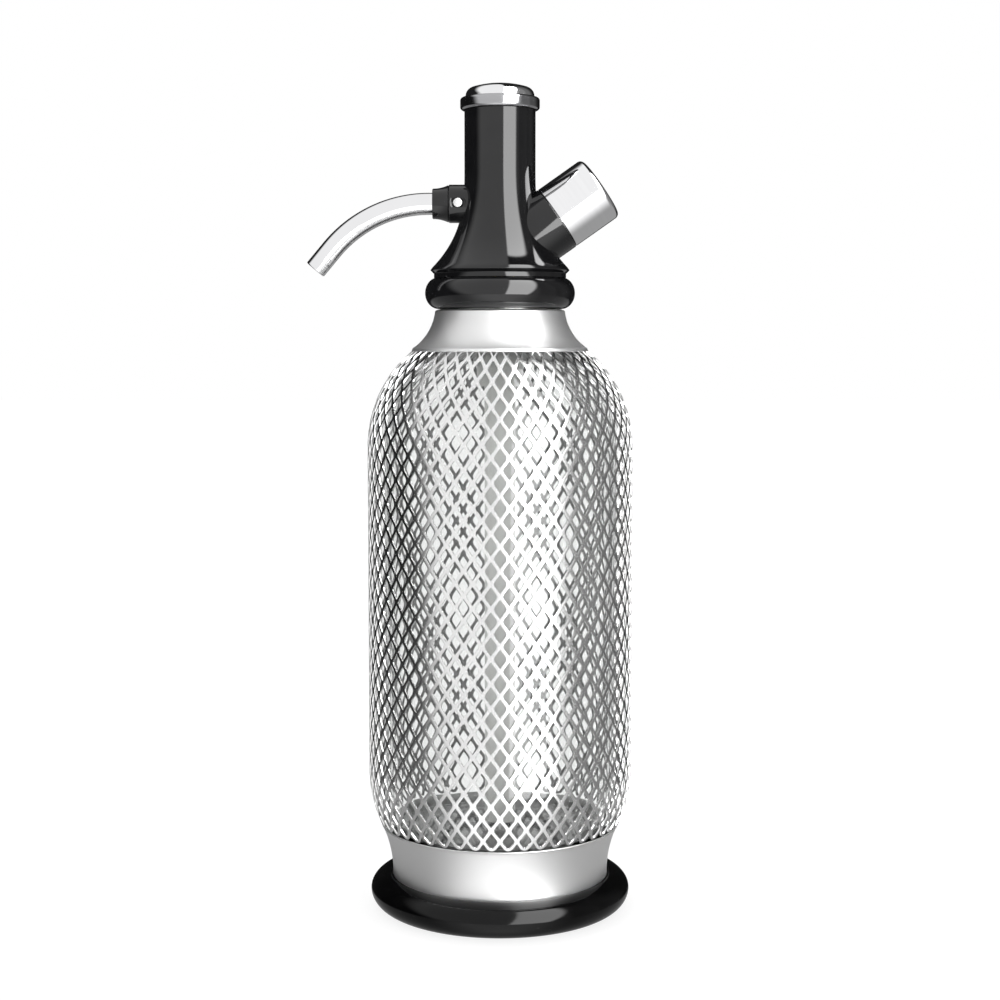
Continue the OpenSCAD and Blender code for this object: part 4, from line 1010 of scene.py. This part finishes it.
    def build(self) -> None:
        """Makes the pieces of the bottle."""
        shop = self.shop
        shop.piece("glass_shell", self.glass(), GLASS, "bottle", "glass", "glass_bottle")
        sheet = Sleeve(self.body).surface()
        sleeve = shop.piece("expanded_sleeve", sheet, MESH, "bottle", "mesh", "mesh_sleeve")
        # The back faces of the strands take a darker copy of the mesh metal: painted shade, not a
        # different finish.
        sleeve.data.materials.append(MESH_BACK_SHADE.build(shop.effects))
        sleeve.data.polygons.foreach_set("material_index", Sleeve.backs(len(sleeve.data.polygons)))
        shop.piece("spun_collar", self.collar(), SPUN, "bottle", "spun_steel", "neck_collar")
        shop.piece("threaded_ring", self.neck_ring(), ALLOY, "bottle", "alloy", "neck_thread_ring")
        shop.piece("spun_band", self.band(), SPUN, "bottle", "spun_steel", "base_band")
        shop.piece("foot_moulding", self.foot(), FOOT_BLACK, "bottle", "foot_plastic", "foot_ring")
        bore = self.riser_r - self.riser_wall
        tube = outline((bore, self.riser_low), (self.riser_r, self.riser_low),
                       (self.riser_r, self.riser_top), (bore, self.riser_top))
        tube = turned(softened(tube, self.riser_edge), 96)
        shop.piece("riser", tube, TUBE, "bottle", "white_plastic", "riser_tube")
        for node, finish in (("bottle_seat", SEAT_GREY), ("base_pad", PAD_GREY), ("bottle_seal", RUBBER),
                             ("insert_flange", TUBE), ("measuring_tube", TUBE)):
            shop.dress(node, finish)


def upright(radius: float, low: float, high: float, steps: int) -> np.ndarray:
    """Points of an upright line of an outline, close enough together to carry a thread.

    Args:
        radius: Radius of the line.
        low, high: Heights of its ends.
        steps: Number of points.
    Returns:
        An array of (radius, height) rows.
    """
    z = np.linspace(low, high, steps)
    return np.column_stack([np.full_like(z, radius), z])


def thread(crest: float, depth: float, low: float, high: float) -> Swell:
    """Makes the swell of a thread.

    Between low and high the radius falls by depth times a rounded wave of the height less the
    pitch for each turn, and the wave fades out over half a pitch at both ends.

    Args:
        crest: Radius at which the thread starts; only points at this radius move.
        depth: Depth of the thread, under zero for a thread inside a bore.
        low, high: Ends of the thread.
    Returns:
        A function for turned().
    """
    def swell(r: np.ndarray, z: np.ndarray, a: np.ndarray) -> np.ndarray:
        """Works out the change of the radius.

        Args:
            r, z, a: Radius, height and angle of each point.
        Returns:
            The change, zero away from the thread.
        """
        wave = 0.5 - 0.5 * np.cos(TURN * (z / PITCH - a / TURN))
        fade = np.clip((z - low) / PITCH * 2, 0, 1) * np.clip((high - z) / PITCH * 2, 0, 1)
        return np.where(np.abs(r - crest) < 1e-6, -depth * np.clip(1.6 * wave - 0.3, 0, 1) * fade, 0.0)
    return swell


class Cut(Enum):
    """What a shape does to the moulding, by the Boolean modifier's name for it."""

    JOIN = "UNION"
    TAKE_OUT = "DIFFERENCE"


@dataclass
class Head:
    """The black head with its spout, its charging port and the pieces held inside."""

    shop: Workshop
    low: float = 246.75
    rim: float = 250.35
    rim_r: float = 26.8
    rim_band_r: float = 25.5
    rim_band_h: float = 2.1
    rim_edge: float = 0.25
    rim_groove: float = 0.3
    rim_drop: float = 0.35
    flare_h: float = 39.0
    flare_power: float = 3.0
    column_r: float = 13.65
    column_top: float = 311.2
    column_edge: float = 0.4
    spigot_r: float = 19.2
    spigot_top: float = 256.15
    seat_top: float = 265.95
    seat_r: float = 7.2
    outlet_r: float = 4.6
    outlet_top: float = 280.2
    stem_r: float = 2.0
    pocket_low: float = 281.4
    pocket_t: float = 2.18
    guide_low: float = 284.0
    guide_top: float = 294.0
    guide_r: float = 8.0
    guide_sunk: float = 2.0
    past: float = 1.0
    spring_bore: float = 12.0
    coil_r: float = 7.6
    coil_wire: float = 0.65
    coil_low: float = 294.7
    coil_top: float = 314.9
    coil_turns: float = 5
    spout_z: float = 275.4
    boss_r: float = 7.3
    boss_reach: float = 19.65
    boss_root: float = 2.0
    boss_edge: float = 0.35
    way_root: float = 0.5
    ferrule_in: float = 9.4
    ferrule_r: float = 5.6
    ferrule_l: float = 5.9
    ferrule_end_r: float = 5.8
    ferrule_lip_r: float = 3.3
    ferrule_lip_l: float = 3.4
    ferrule_foot: float = 0.45
    ferrule_step: float = 0.25
    ferrule_rise: float = 0.3
    ferrule_edge: float = 0.4
    ferrule_mouth: float = 0.3
    pin_reach: float = 16.2
    pin_r: float = 1.65
    pin_l: float = 3.0
    pin_hole: float = 9.0
    pin_crown: float = 0.35
    spout_r: float = 4.2
    spout_wall: float = 0.9
    bend_start: float = 27.4
    bend_r: float = 49.0
    bend_angle: float = 50.0
    bend_spare: float = 0.5
    spout_end: float = 10.0
    port_z: float = 254.55
    port_lean: float = 35.0
    stub_r: float = 13.1
    stub_root: float = 12.0
    stub_reach: float = 26.7
    stub_edge: float = 0.3
    port_in: float = 18.0
    port_r: float = 9.5
    port_bore: float = 6.6
    port_floor: float = 4.6
    port_l: float = 14.2
    port_hub: float = 2.45
    port_edge: float = 0.6
    port_mouth: float = 0.5
    port_thread: float = 0.65
    bezel_r: float = 15.25
    bezel_low: float = 310.9
    bezel_top: float = 315.6
    bezel_edge: float = 1.1
    bezel_mouth: float = 0.42
    bezel_web: float = 0.5
    bezel_sleeve_l: float = 8.5
    bezel_sleeve_t: float = 0.95
    button_r: float = 13.2

    def on_spout(self) -> Change:
        """Carries a shape turned round Z onto the spout's axis, with Z running outwards."""
        return on_axes((0, 0, 1), (0, 1, 0), (-1, 0, 0), (0, 0, self.spout_z))

    def on_port(self) -> Change:
        """Carries a shape turned round Z onto the port's axis, with Z running outwards."""
        lean = math.radians(self.port_lean)
        c, s = math.cos(lean), math.sin(lean)
        return on_axes((s, 0, -c), (0, 1, 0), (c, 0, s), (0, 0, self.port_z))

    def flare(self, steps: int = 44) -> np.ndarray:
        """Points of the flare from the rim up: r = column + (rim - column) t^power, z = rim + h (1 - t).

        Args:
            steps: Number of chords.
        Returns:
            An array of (radius, height) rows.
        """
        t = np.linspace(1.0, 0.0, steps + 1)
        radius = self.column_r + (self.rim_r - self.column_r) * t**self.flare_power
        return np.column_stack([radius, self.rim + self.flare_h * (1.0 - t)])

    def moulding_skin(self) -> Surface:
        """Turns the outside of the column, the flare and the rim.

        Returns:
            The outside as a closed solid.
        """
        band, band_top, top = self.rim_band_r, self.low + self.rim_band_h, self.column_top
        e, g, c = self.rim_edge, self.rim_groove, self.column_edge
        return turned(outline(
            (0, self.low), (band - e, self.low), (band, self.low + e), (band, band_top - g),
            arc(band + g, band_top - g, g, 180, 100, 4),
            arc(self.rim_r - g, self.rim - self.rim_drop, g, -60, 20, 5), self.flare()[1:],
            (self.column_r, top - c), (self.column_r - c, top), (0, top)), 256)

    def moulding_bores(self) -> Surface:
        """Turns what is bored out along the column: spigot, seat, outlet, stem, seal, guide and spring.

        Returns:
            The bores as a closed solid.
        """
        spigot, seat, guide = self.spigot_r + FIT, self.seat_r + FIT, self.guide_r + FIT
        stem, pocket = self.stem_r + SLIP, self.stem_r + self.pocket_t
        ledge, past_low = self.guide_top - self.guide_sunk, self.low - self.past
        past_top = self.column_top + self.past
        return turned(outline(
            (0, past_low), (spigot, past_low), (spigot, self.spigot_top), (seat, self.spigot_top),
            (seat, self.seat_top), (self.outlet_r, self.seat_top), (self.outlet_r, self.outlet_top),
            (stem, self.outlet_top), (stem, self.pocket_low), (pocket, self.pocket_low),
            (pocket, self.guide_low), (guide, self.guide_low), (guide, ledge), (self.spring_bore, ledge),
            (self.spring_bore, past_top), (0, past_top)), 96)

    @staticmethod
    def rod(radius: float, low: float, high: float, segments: int, edge: float = 0.0) -> Surface:
        """Turns a plain rod round Z.

        Args:
            radius: Radius of the rod.
            low, high: Heights of its ends.
            segments: Columns round the axis.
            edge: Reach of its rounded edges.
        Returns:
            The rod's surface.
        """
        points = outline((0, low), (radius, low), (radius, high), (0, high))
        return turned(softened(points, edge) if edge else points, segments)

    def across(self, side: float) -> Change:
        """Carries a shape turned round Z onto a pin's axis, outwards to one side of the boss."""
        return on_axes((side, 0, 0), (0, 0, 1), (0, -side, 0), (-self.pin_reach, 0, self.spout_z))

    def moulding(self) -> None:
        """Cuts the head: column and flare, joined with the boss and the stub, less every bore."""
        shop, skin, bores = self.shop, self.moulding_skin(), self.moulding_bores()
        boss = self.rod(self.boss_r, self.boss_root, self.boss_reach, 128, self.boss_edge)
        stub = self.rod(self.stub_r, self.stub_root, self.stub_reach, 192, self.stub_edge)
        lip, ferrule, past = self.ferrule_lip_r, self.ferrule_r + FIT, self.boss_reach + self.past
        way = turned(outline(
            (0, self.way_root), (lip, self.way_root), (lip, self.ferrule_in), (ferrule, self.ferrule_in),
            (ferrule, past), (0, past)), 96)
        port = self.rod(self.port_r + FIT, self.port_in, self.stub_reach + self.past, 128)
        pins = self.rod(self.pin_r + FIT, -self.pin_hole, self.pin_hole, 48)
        out, up = self.on_spout(), self.on_port()
        base = bpy.data.objects.new("head_moulding", shop.mesh("head_moulding", skin))
        bpy.context.collection.objects.link(base)
        for name, surface, change in (
                ("boss", boss.moved(out), Cut.JOIN), ("stub", stub.moved(up), Cut.JOIN),
                ("bores", bores, Cut.TAKE_OUT), ("way", way.moved(out), Cut.TAKE_OUT),
                ("port_bore", port.moved(up), Cut.TAKE_OUT),
                ("pin_holes", pins.moved(self.across(1)), Cut.TAKE_OUT)):
            self.cut(base, name, surface, change)
        base.data.shade_smooth()
        base.data.set_sharp_from_angle(angle=SHARP)
        base.data.materials.clear()
        base.data.materials.append(HEAD_BLACK.build(shop.effects))
        shop.seat(base, "head", "head_plastic", "head_body")

    def cut(self, base: bpy.types.Object, name: str, surface: Surface, change: Cut) -> None:
        """Joins a shape to a mesh or cuts it out, and keeps the result as the object's mesh.

        Args:
            base: The object that is changed.
            name: Name of the tool's mesh.
            surface: The tool.
            change: Whether the tool is joined on or taken out.
        """
        tool = bpy.data.objects.new(name, self.shop.mesh(name, surface))
        bpy.context.collection.objects.link(tool)
        step = base.modifiers.new(name, "BOOLEAN")
        step.operation, step.solver, step.object = change.value, "EXACT", tool
        graph = bpy.context.evaluated_depsgraph_get()
        result = bpy.data.meshes.new_from_object(base.evaluated_get(graph))
        base.modifiers.clear()
        base.data = result
        bpy.data.objects.remove(tool)

    def spout(self) -> Surface:
        """Bends the spout tube.

        The tube is turned round Z as a straight one and each point at height s goes to
        P(s) + x N(s) + y Y, where P runs straight, round an arc of bend_r and straight again,
        and N is the direction across it in the plane of the bend.

        Returns:
            The tube with a rounded lip at its end.
        """
        bend = math.radians(self.bend_angle)
        arc_l = self.bend_r * bend
        start = self.ferrule_in + self.ferrule_lip_l
        total = self.bend_start + arc_l + self.spout_end
        half_wall = 0.5 * self.spout_wall
        spare = self.bend_spare
        bent = np.linspace(self.bend_start - spare, total - self.spout_end + spare, 72)
        s = np.concatenate([[start], bent, [total - half_wall]])
        bore = self.spout_r - self.spout_wall
        lip = arc(self.spout_r - half_wall, total - half_wall, half_wall, 0, 180, 10)
        tube = turned(outline(
            (bore, start), np.column_stack([np.full_like(s, self.spout_r), s]), lip,
            np.column_stack([np.full_like(s, bore), s])[::-1]), 96)

        def carry(points: np.ndarray) -> np.ndarray:
            """Puts points of the straight tube onto the bent path.

            Args:
                points: Points of the straight tube.
            Returns:
                The points on the bent path.
            """
            run = points[:, 2]
            turn = np.clip(run - self.bend_start, 0.0, arc_l) / self.bend_r
            after = np.maximum(run - self.bend_start - arc_l, 0.0)
            before = np.minimum(run, self.bend_start)
            x = before + self.bend_r * np.sin(turn) + after * math.cos(bend)
            z = -self.bend_r * (1.0 - np.cos(turn)) - after * math.sin(bend)
            return np.column_stack([-x - points[:, 0] * np.sin(turn), points[:, 1],
                                    self.spout_z + z + points[:, 0] * np.cos(turn)])
        return tube.moved(carry)

    def ferrule(self) -> Surface:
        """Turns the ferrule: a plain shank in the boss and a hollow taper outside.

        Returns:
            The ferrule's surface.
        """
        t = np.linspace(0.0, 1.0, 17)
        foot, out, bore = self.ferrule_in + FIT, self.boss_reach + FIT, self.spout_r + FIT
        end = out + self.ferrule_l
        edge, rise = self.ferrule_edge, self.ferrule_rise
        taper = np.column_stack([
            self.ferrule_end_r + (self.boss_r - self.ferrule_step - self.ferrule_end_r) * (1 - t) ** 2,
            out + rise + (self.ferrule_l - rise) * t])
        shoulder = self.ferrule_in + self.ferrule_lip_l - FIT
        return turned(outline(
            (self.ferrule_lip_r, foot), (self.ferrule_r, foot), (self.ferrule_r, out),
            (self.boss_r - self.ferrule_foot, out), taper,
            arc(self.ferrule_end_r - edge, end, edge, 0, 90, 5),
            (bore, end + edge - self.ferrule_mouth), (bore, shoulder), (self.ferrule_lip_r, shoulder)),
            128).moved(self.on_spout())

    def pins(self) -> Surface:
        """Turns two pins with crowned heads, one from each side of the boss.

        Returns:
            Both pins as one surface.
        """
        crown, foot = self.pin_crown, self.boss_r - self.pin_l
        radius = (self.pin_r**2 + crown**2) / (2 * crown)
        turn = math.degrees(math.asin(self.pin_r / radius))
        head = arc(0, self.boss_r + crown - radius, radius, 90 - turn, 90, 8)
        pin = turned(outline((0, foot), (self.pin_r, foot), head), 48)
        return joined(pin.moved(self.across(1)), pin.moved(self.across(-1)))

    def bezel(self) -> Surface:
        """Turns the bezel: a bead round the column's end with a sleeve inside.

        Returns:
            The bezel's surface.
        """
        e, r, lip = self.bezel_edge, self.bezel_r, self.button_r + SLIP
        web = self.column_top + FIT
        sleeve, foot = self.spring_bore - FIT, self.column_top - self.bezel_sleeve_l
        guide, column, m = sleeve - self.bezel_sleeve_t, self.column_r + FIT, self.bezel_mouth
        return turned(outline(
            (column, self.bezel_low), arc(r - e, self.bezel_low + e, e, -90, 0, 10),
            arc(r - e, self.bezel_top - e, e, 0, 90, 10),
            arc(lip + m, self.bezel_top - m, m, 90, 180, 6),
            (lip, web + self.bezel_web), (guide, web + self.bezel_web), (guide, foot),
            (sleeve, foot), (sleeve, web), (column, web)), 192)

    def port(self) -> Surface:
        """Turns the charging port, with a thread on its outside and a chamfered mouth.

        Returns:
            The port's surface.
        """
        end, foot = self.stub_reach + self.port_l, self.port_in + FIT
        floor = self.port_in + self.port_floor
        edge, mouth = self.port_edge, self.port_mouth
        return turned(outline(
            (self.port_hub, foot), (self.port_r, foot),
            upright(self.port_r, self.stub_reach + edge, end - edge, 110), (self.port_r - edge, end),
            (self.port_bore + mouth, end), (self.port_bore, end - mouth), (self.port_bore, floor),
            (self.port_hub, floor)), 160,
            thread(self.port_r, self.port_thread, self.stub_reach + 1.2, end - 0.8)).moved(self.on_port())

    def build(self) -> None:
        """Makes the pieces of the head."""
        shop = self.shop
        self.moulding()
        shop.piece("bent_spout", self.spout(), CHROME, "head", "chrome", "spout_tube")
        shop.piece("ferrule", self.ferrule(), HEAD_BLACK, "head", "head_plastic", "spout_ferrule")
        shop.piece("boss_pins", self.pins(), PIN, "head", "pin_steel", "spout_pins")
        shop.piece("bezel", self.bezel(), BEZEL, "head", "chrome", "bezel_ring")
        shop.piece("threaded_port", self.port(), PORT_ALLOY, "head", "alloy", "charger_port")
        coil = helix(self.coil_r, self.coil_wire, self.coil_low, self.coil_top, self.coil_turns)
        spring = shop.piece("coil_spring", coil, WIRE, "head", "spring_steel", "return_spring")
        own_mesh(spring)
        for node, finish in (("head_spigot", BRASS), ("riser_seal", RUBBER), ("valve_seat", BRASS),
                             ("stem_seal", RUBBER), ("stem_guide", TUBE), ("spout_seal", RUBBER),
                             ("piercing_pin", PIN), ("charger_seal", RUBBER), ("check_valve", RUBBER)):
            shop.dress(node, finish)


@dataclass
class MovingPieces:
    """The coupling nut, the button with its valve, and the port's cap."""

    shop: Workshop
    head: Head
    nut_low: float = 235.15
    nut_top: float = 246.7
    nut_r: float = 28.95
    nut_bulge: float = 5.3
    nut_half: float = 6.1
    thread_r: float = 21.58
    nut_thread: float = 0.62
    mouth: float = 0.5
    foot_out: float = 0.5
    foot_edge: float = 0.2
    neck_out: float = 0.75
    neck_up: float = 0.36
    top_in: float = 0.2
    top_edge: float = 0.12
    lip: float = 1.5
    spigot_r: float = 19.28
    button_top: float = 321.0
    dome_edge: float = 3.4
    edge_turn: float = 78.0
    crown: float = 1.4
    button_wall: float = 4.0
    hub_r: float = 3.6
    hub_l: float = 7.4
    stem_in: float = 0.6
    skirt_r: float = 10.92
    skirt_t: float = 1.3
    skirt_l: float = 10.3
    button_low: float = 315.4
    rim_edge: float = 0.3
    cap_r: float = 13.0
    cap_low: float = 26.85
    cap_l: float = 20.4
    cap_edge: float = 2.0
    cap_thread: float = 0.6
    cap_mouth: float = 0.6
    cap_ceiling: float = 43.0

    def nut(self) -> Surface:
        """Turns the nut: an oval bead over a stepped foot, with a thread inside.

        Returns:
            The nut's surface.
        """
        middle = self.nut_low + self.nut_half - FIT
        high = math.degrees(math.asin((self.nut_top - middle) / self.nut_half))
        cx = self.nut_r - self.nut_bulge
        under_lip = self.nut_top - self.lip
        return turned(outline(
            (self.thread_r + self.mouth, self.nut_low), (cx + self.foot_out, self.nut_low),
            arc(cx + self.foot_out, self.nut_low + self.foot_edge, self.foot_edge, -90, 70, 4),
            (cx + self.neck_out, self.nut_low + self.neck_up),
            oval(cx, middle, self.nut_bulge, self.nut_half, -77, high, 44),
            arc(cx - self.top_in, self.nut_top - self.top_edge, self.top_edge, 60, 120, 3),
            (self.spigot_r, self.nut_top), (self.spigot_r, under_lip), (self.thread_r, under_lip),
            upright(self.thread_r, self.nut_low + 0.6, under_lip - 0.4, 50)[::-1]), 224,
            thread(self.thread_r, -self.nut_thread, self.nut_low + 0.9, under_lip - 0.6))

    def button(self) -> Surface:
        """Turns the button: crown, rounded edge, skirt and the hub that holds the stem.

        Returns:
            The button's surface.
        """
        edge = self.edge_turn
        ex, ez = self.head.button_r - self.dome_edge, self.button_top - self.crown - self.dome_edge
        cr = ex + self.dome_edge * math.cos(math.radians(edge))
        rise = self.button_top - (ez + self.dome_edge * math.sin(math.radians(edge)))
        radius = (cr**2 + rise**2) / (2 * rise)
        turn = math.degrees(math.asin(cr / radius))
        under = self.button_top - self.crown - self.button_wall
        stem, hub_low, inside = self.head.stem_r + FIT, under - self.hub_l, self.skirt_r - self.skirt_t
        low, skirt_low, ceiling = self.button_low, self.button_low - self.skirt_l, under + self.stem_in
        return turned(outline(
            (stem, hub_low), (self.hub_r, hub_low), (self.hub_r, under), (inside, under),
            (inside, skirt_low), (self.skirt_r, skirt_low), (self.skirt_r, low),
            (self.head.button_r - self.rim_edge, low), (self.head.button_r, low + self.rim_edge),
            arc(ex, ez, self.dome_edge, 0, edge, 16),
            arc(0, self.button_top - radius, radius, 90 - turn, 90, 16), (0, ceiling),
            (stem, ceiling)), 192)

    def cap(self) -> Surface:
        """Turns the cap: a rounded crown, a plain side and a threaded bore.

        Returns:
            The cap's surface.
        """
        top = self.cap_low + self.cap_l
        bore = self.head.port_r + SLIP
        return turned(outline(
            (bore + self.cap_mouth, self.cap_low), (self.cap_r - self.rim_edge, self.cap_low),
            (self.cap_r, self.cap_low + self.rim_edge),
            arc(self.cap_r - self.cap_edge, top - self.cap_edge, self.cap_edge, 0, 90, 16),
            (0, top), (0, self.cap_ceiling), (bore, self.cap_ceiling),
            upright(bore, self.cap_low + 0.7, self.cap_ceiling - 1.2, 100)[::-1]), 192,
            thread(bore, -self.cap_thread, self.cap_low + 1.0, self.cap_ceiling - 1.5)
        ).moved(self.head.on_port())

    def build(self) -> None:
        """Makes the moving pieces."""
        shop = self.shop
        shop.piece("coupling_nut", self.nut(), HEAD_BLACK, "nut", "head_plastic", "union_nut")
        shop.piece("domed_button", self.button(), CHROME, "button", "chrome", "push_button")
        shop.piece("screw_cap", self.cap(), CHROME_CAP, "cap", "chrome", "port_cap")
        for node, finish in (("valve_stem", PIN), ("valve_washer", RUBBER), ("cap_seal", RUBBER)):
            shop.dress(node, finish)


# Studio


@dataclass(frozen=True)
class Edge:
    """A plane that bounds a patch of light among the directions round the siphon.

    The patch lies where normal . direction is over the offset, and fades in over the
    offset plus or minus the softness.
    """

    normal: tuple[float, float, float]
    offset: float = 0.0
    soft: float = 0.03

    def other_side(self) -> "Edge":
        """Returns the edge of the patch on the plane's other side."""
        return Edge(tuple(-n for n in self.normal), -self.offset, self.soft)


def right_of(side: float, soft: float = 0.03) -> Edge:
    """Edge of what lies to the right of a side, in degrees from the camera's side."""
    a = math.radians(side)
    return Edge((math.cos(a), math.sin(a), 0.0), 0.0, soft)


def left_of(side: float, soft: float = 0.03) -> Edge:
    """Edge of what lies to the left of a side, in degrees from the camera's side."""
    return right_of(side, soft).other_side()


def over(rise: float, soft: float = 0.03) -> Edge:
    """Edge of what lies over an elevation in degrees."""
    return Edge((0.0, 0.0, 1.0), math.sin(math.radians(rise)), soft)


def under(rise: float, soft: float = 0.03) -> Edge:
    """Edge of what lies under an elevation in degrees."""
    return over(rise, soft).other_side()


@dataclass(frozen=True)
class Window:
    """A patch of light that mirrors show, with its level and the edges round it."""

    light: float
    edges: tuple[Edge, ...]


BOX_LEFT = Edge((0.954, 0.169, -0.121), 0.0, 0.02)
BOX_RIGHT = Edge((-0.501, -0.603, 0.292), 0.0, 0.05)
BOX_TOP = Edge((0.463, -0.860, -0.2115), 0.0, 0.03)
PANEL_SIDE = Edge((0.287, -0.710, 0.557), 0.0, 0.17)

WHITE = (1.0, 1.0, 1.0, 1.0)
PALE_GREY = (0.8, 0.8, 0.8, 1.0)
SHADOW_GREY = (0.28, 0.28, 0.28, 1.0)


@dataclass
class Studio:
    """Camera, pale floor and the light that the surfaces mirror."""

    lens: float = 65.7
    distance: float = 710.1
    height: float = 223.3
    tilt: float = 5.02
    plain: float = 0.8
    inner: float = 1.9
    dark: float = 0.015
    sensor: float = 36.0
    clip: tuple[float, float] = (0.01, 50.0)
    floor_half: float = 6.0
    floor_gap: float = 0.05
    floor_glow: float = 0.84
    windows: tuple[Window, ...] = (
        Window(1.0, (PANEL_SIDE, BOX_LEFT.other_side(), over(-14.0))),
        Window(8.0, (BOX_LEFT, BOX_RIGHT, BOX_TOP, over(-16.0, 0.015))),
        Window(0.30, (BOX_RIGHT.other_side(), left_of(63.0, 0.08), over(-14.0))),
        Window(0.24, (BOX_RIGHT.other_side(), left_of(96.0, 0.02), over(-14.0))),
        Window(0.15, (right_of(96.0, 0.02), left_of(128.0, 0.3), over(-14.0), under(60.0, 0.2))),
        Window(0.34, (under(-15.0, 0.04),)),
        Window(1.12, (under(-15.0, 0.04), right_of(-44.0, 0.42), left_of(46.0, 0.42))),
    )

    def camera(self) -> None:
        """Places the camera in front of the siphon, a little over its middle, tilted down."""
        data = bpy.data.cameras.new("camera")
        data.lens, data.sensor_width = self.lens, self.sensor
        data.clip_start, data.clip_end = self.clip
        thing = bpy.data.objects.new("camera", data)
        thing.location = (0.0, -self.distance * MM, self.height * MM)
        thing.rotation_euler = (math.radians(90.0 - self.tilt), 0.0, 0.0)
        bpy.context.collection.objects.link(thing)
        bpy.context.scene.camera = thing

    def edge_group(self) -> bpy.types.NodeTree:
        """Makes the group that tells how far a direction lies inside one edge, from 0 to 1.

        Returns:
            The group.
        """
        sheet = new_group("edge_of_light", {"Direction": (0.0, 0.0, 0.0), "Normal": (0.0, 0.0, 1.0),
                                            "Offset": 0.0, "Soft": 0.03}, {"Inside": "NodeSocketFloat"})
        given = sheet.add("NodeGroupInput").outputs
        along = sheet.add("VectorMath", {"operation": "DOT_PRODUCT"}, i0=given["Direction"],
                          i1=given["Normal"]).outputs["Value"]
        inside = sheet.ramp(along, sheet.math("SUBTRACT", given["Offset"], given["Soft"]),
                            sheet.math("ADD", given["Offset"], given["Soft"]))
        sheet.add("NodeGroupOutput", Inside=inside)
        return sheet.tree

    def world(self) -> None:
        """Lights the scene: white behind, a plain level on matt surfaces, windows in mirrors.

        Matt surfaces inside the glass get a level of their own, since the sleeve shades them.
        """
        world = bpy.data.worlds.new("studio")
        bpy.context.scene.world = world
        world.use_nodes = True
        world.node_tree.nodes.clear()
        world.cycles.sampling_method = "NONE"
        sheet = NodeSheet(world.node_tree)
        direction = sheet.add("TexCoord").outputs["Generated"]
        group = self.edge_group()
        total = None
        for window in self.windows:
            level = window.light
            for edge in window.edges:
                inside = sheet.add("Group", {"node_tree": group}, Direction=direction, Normal=edge.normal,
                                   Offset=edge.offset, Soft=edge.soft).outputs[0]
                level = sheet.math("MULTIPLY", inside, level)
            total = sheet.math("ADD", level, self.dark if total is None else total)
        path = sheet.add("LightPath").outputs
        light = sheet.blend(path["Is Diffuse Ray"], total, self.plain)
        inside = sheet.math("MINIMUM", path["Diffuse Depth"], 1.0)
        light = sheet.blend(sheet.seen(path), light, sheet.blend(inside, 1.0, self.inner))
        back = sheet.add("Background", Strength=light, Color=WHITE)
        sheet.add("OutputWorld", Surface=back.outputs[0])

    def floor(self) -> None:
        """Lays a pale floor that reads as white and keeps a faint shadow."""
        mesh = bpy.data.meshes.new("floor")
        r = self.floor_half
        mesh.from_pydata([(-r, -r, 0), (r, -r, 0), (r, r, 0), (-r, r, 0)], [], [(0, 1, 2, 3)])
        thing = bpy.data.objects.new("floor", mesh)
        bpy.context.collection.objects.link(thing)
        thing.location = (0.0, 0.0, -self.floor_gap * MM)
        thing.visible_glossy = False
        material = bpy.data.materials.new("pale_floor")
        material.use_nodes = True
        material.node_tree.nodes.clear()
        sheet = NodeSheet(material.node_tree)
        matt = sheet.add("BsdfDiffuse", Color=SHADOW_GREY)
        glow = sheet.add("Emission", Color=WHITE, Strength=self.floor_glow)
        both = sheet.add("AddShader", i0=matt.outputs[0], i1=glow.outputs[0])
        seen = sheet.seen(sheet.add("LightPath").outputs)
        plain = sheet.add("BsdfDiffuse", Color=PALE_GREY)
        pick = sheet.add("MixShader", i0=seen, i1=plain.outputs[0], i2=both.outputs[0])
        sheet.add("OutputMaterial", Surface=pick.outputs[0])
        mesh.materials.append(material)

    def build(self) -> None:
        """Sets the studio up."""
        bpy.context.scene.view_settings.view_transform = "Standard"
        self.camera()
        self.world()
        self.floor()


def main() -> None:
    """Builds the siphon and the studio."""
    logging.basicConfig(level=logging.INFO, format="%(name)s: %(message)s")
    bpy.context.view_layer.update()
    Studio().build()
    shop = Workshop()
    Bottle(shop).build()
    head = Head(shop)
    head.build()
    MovingPieces(shop, head).build()


if __name__ == "__main__":
    main()
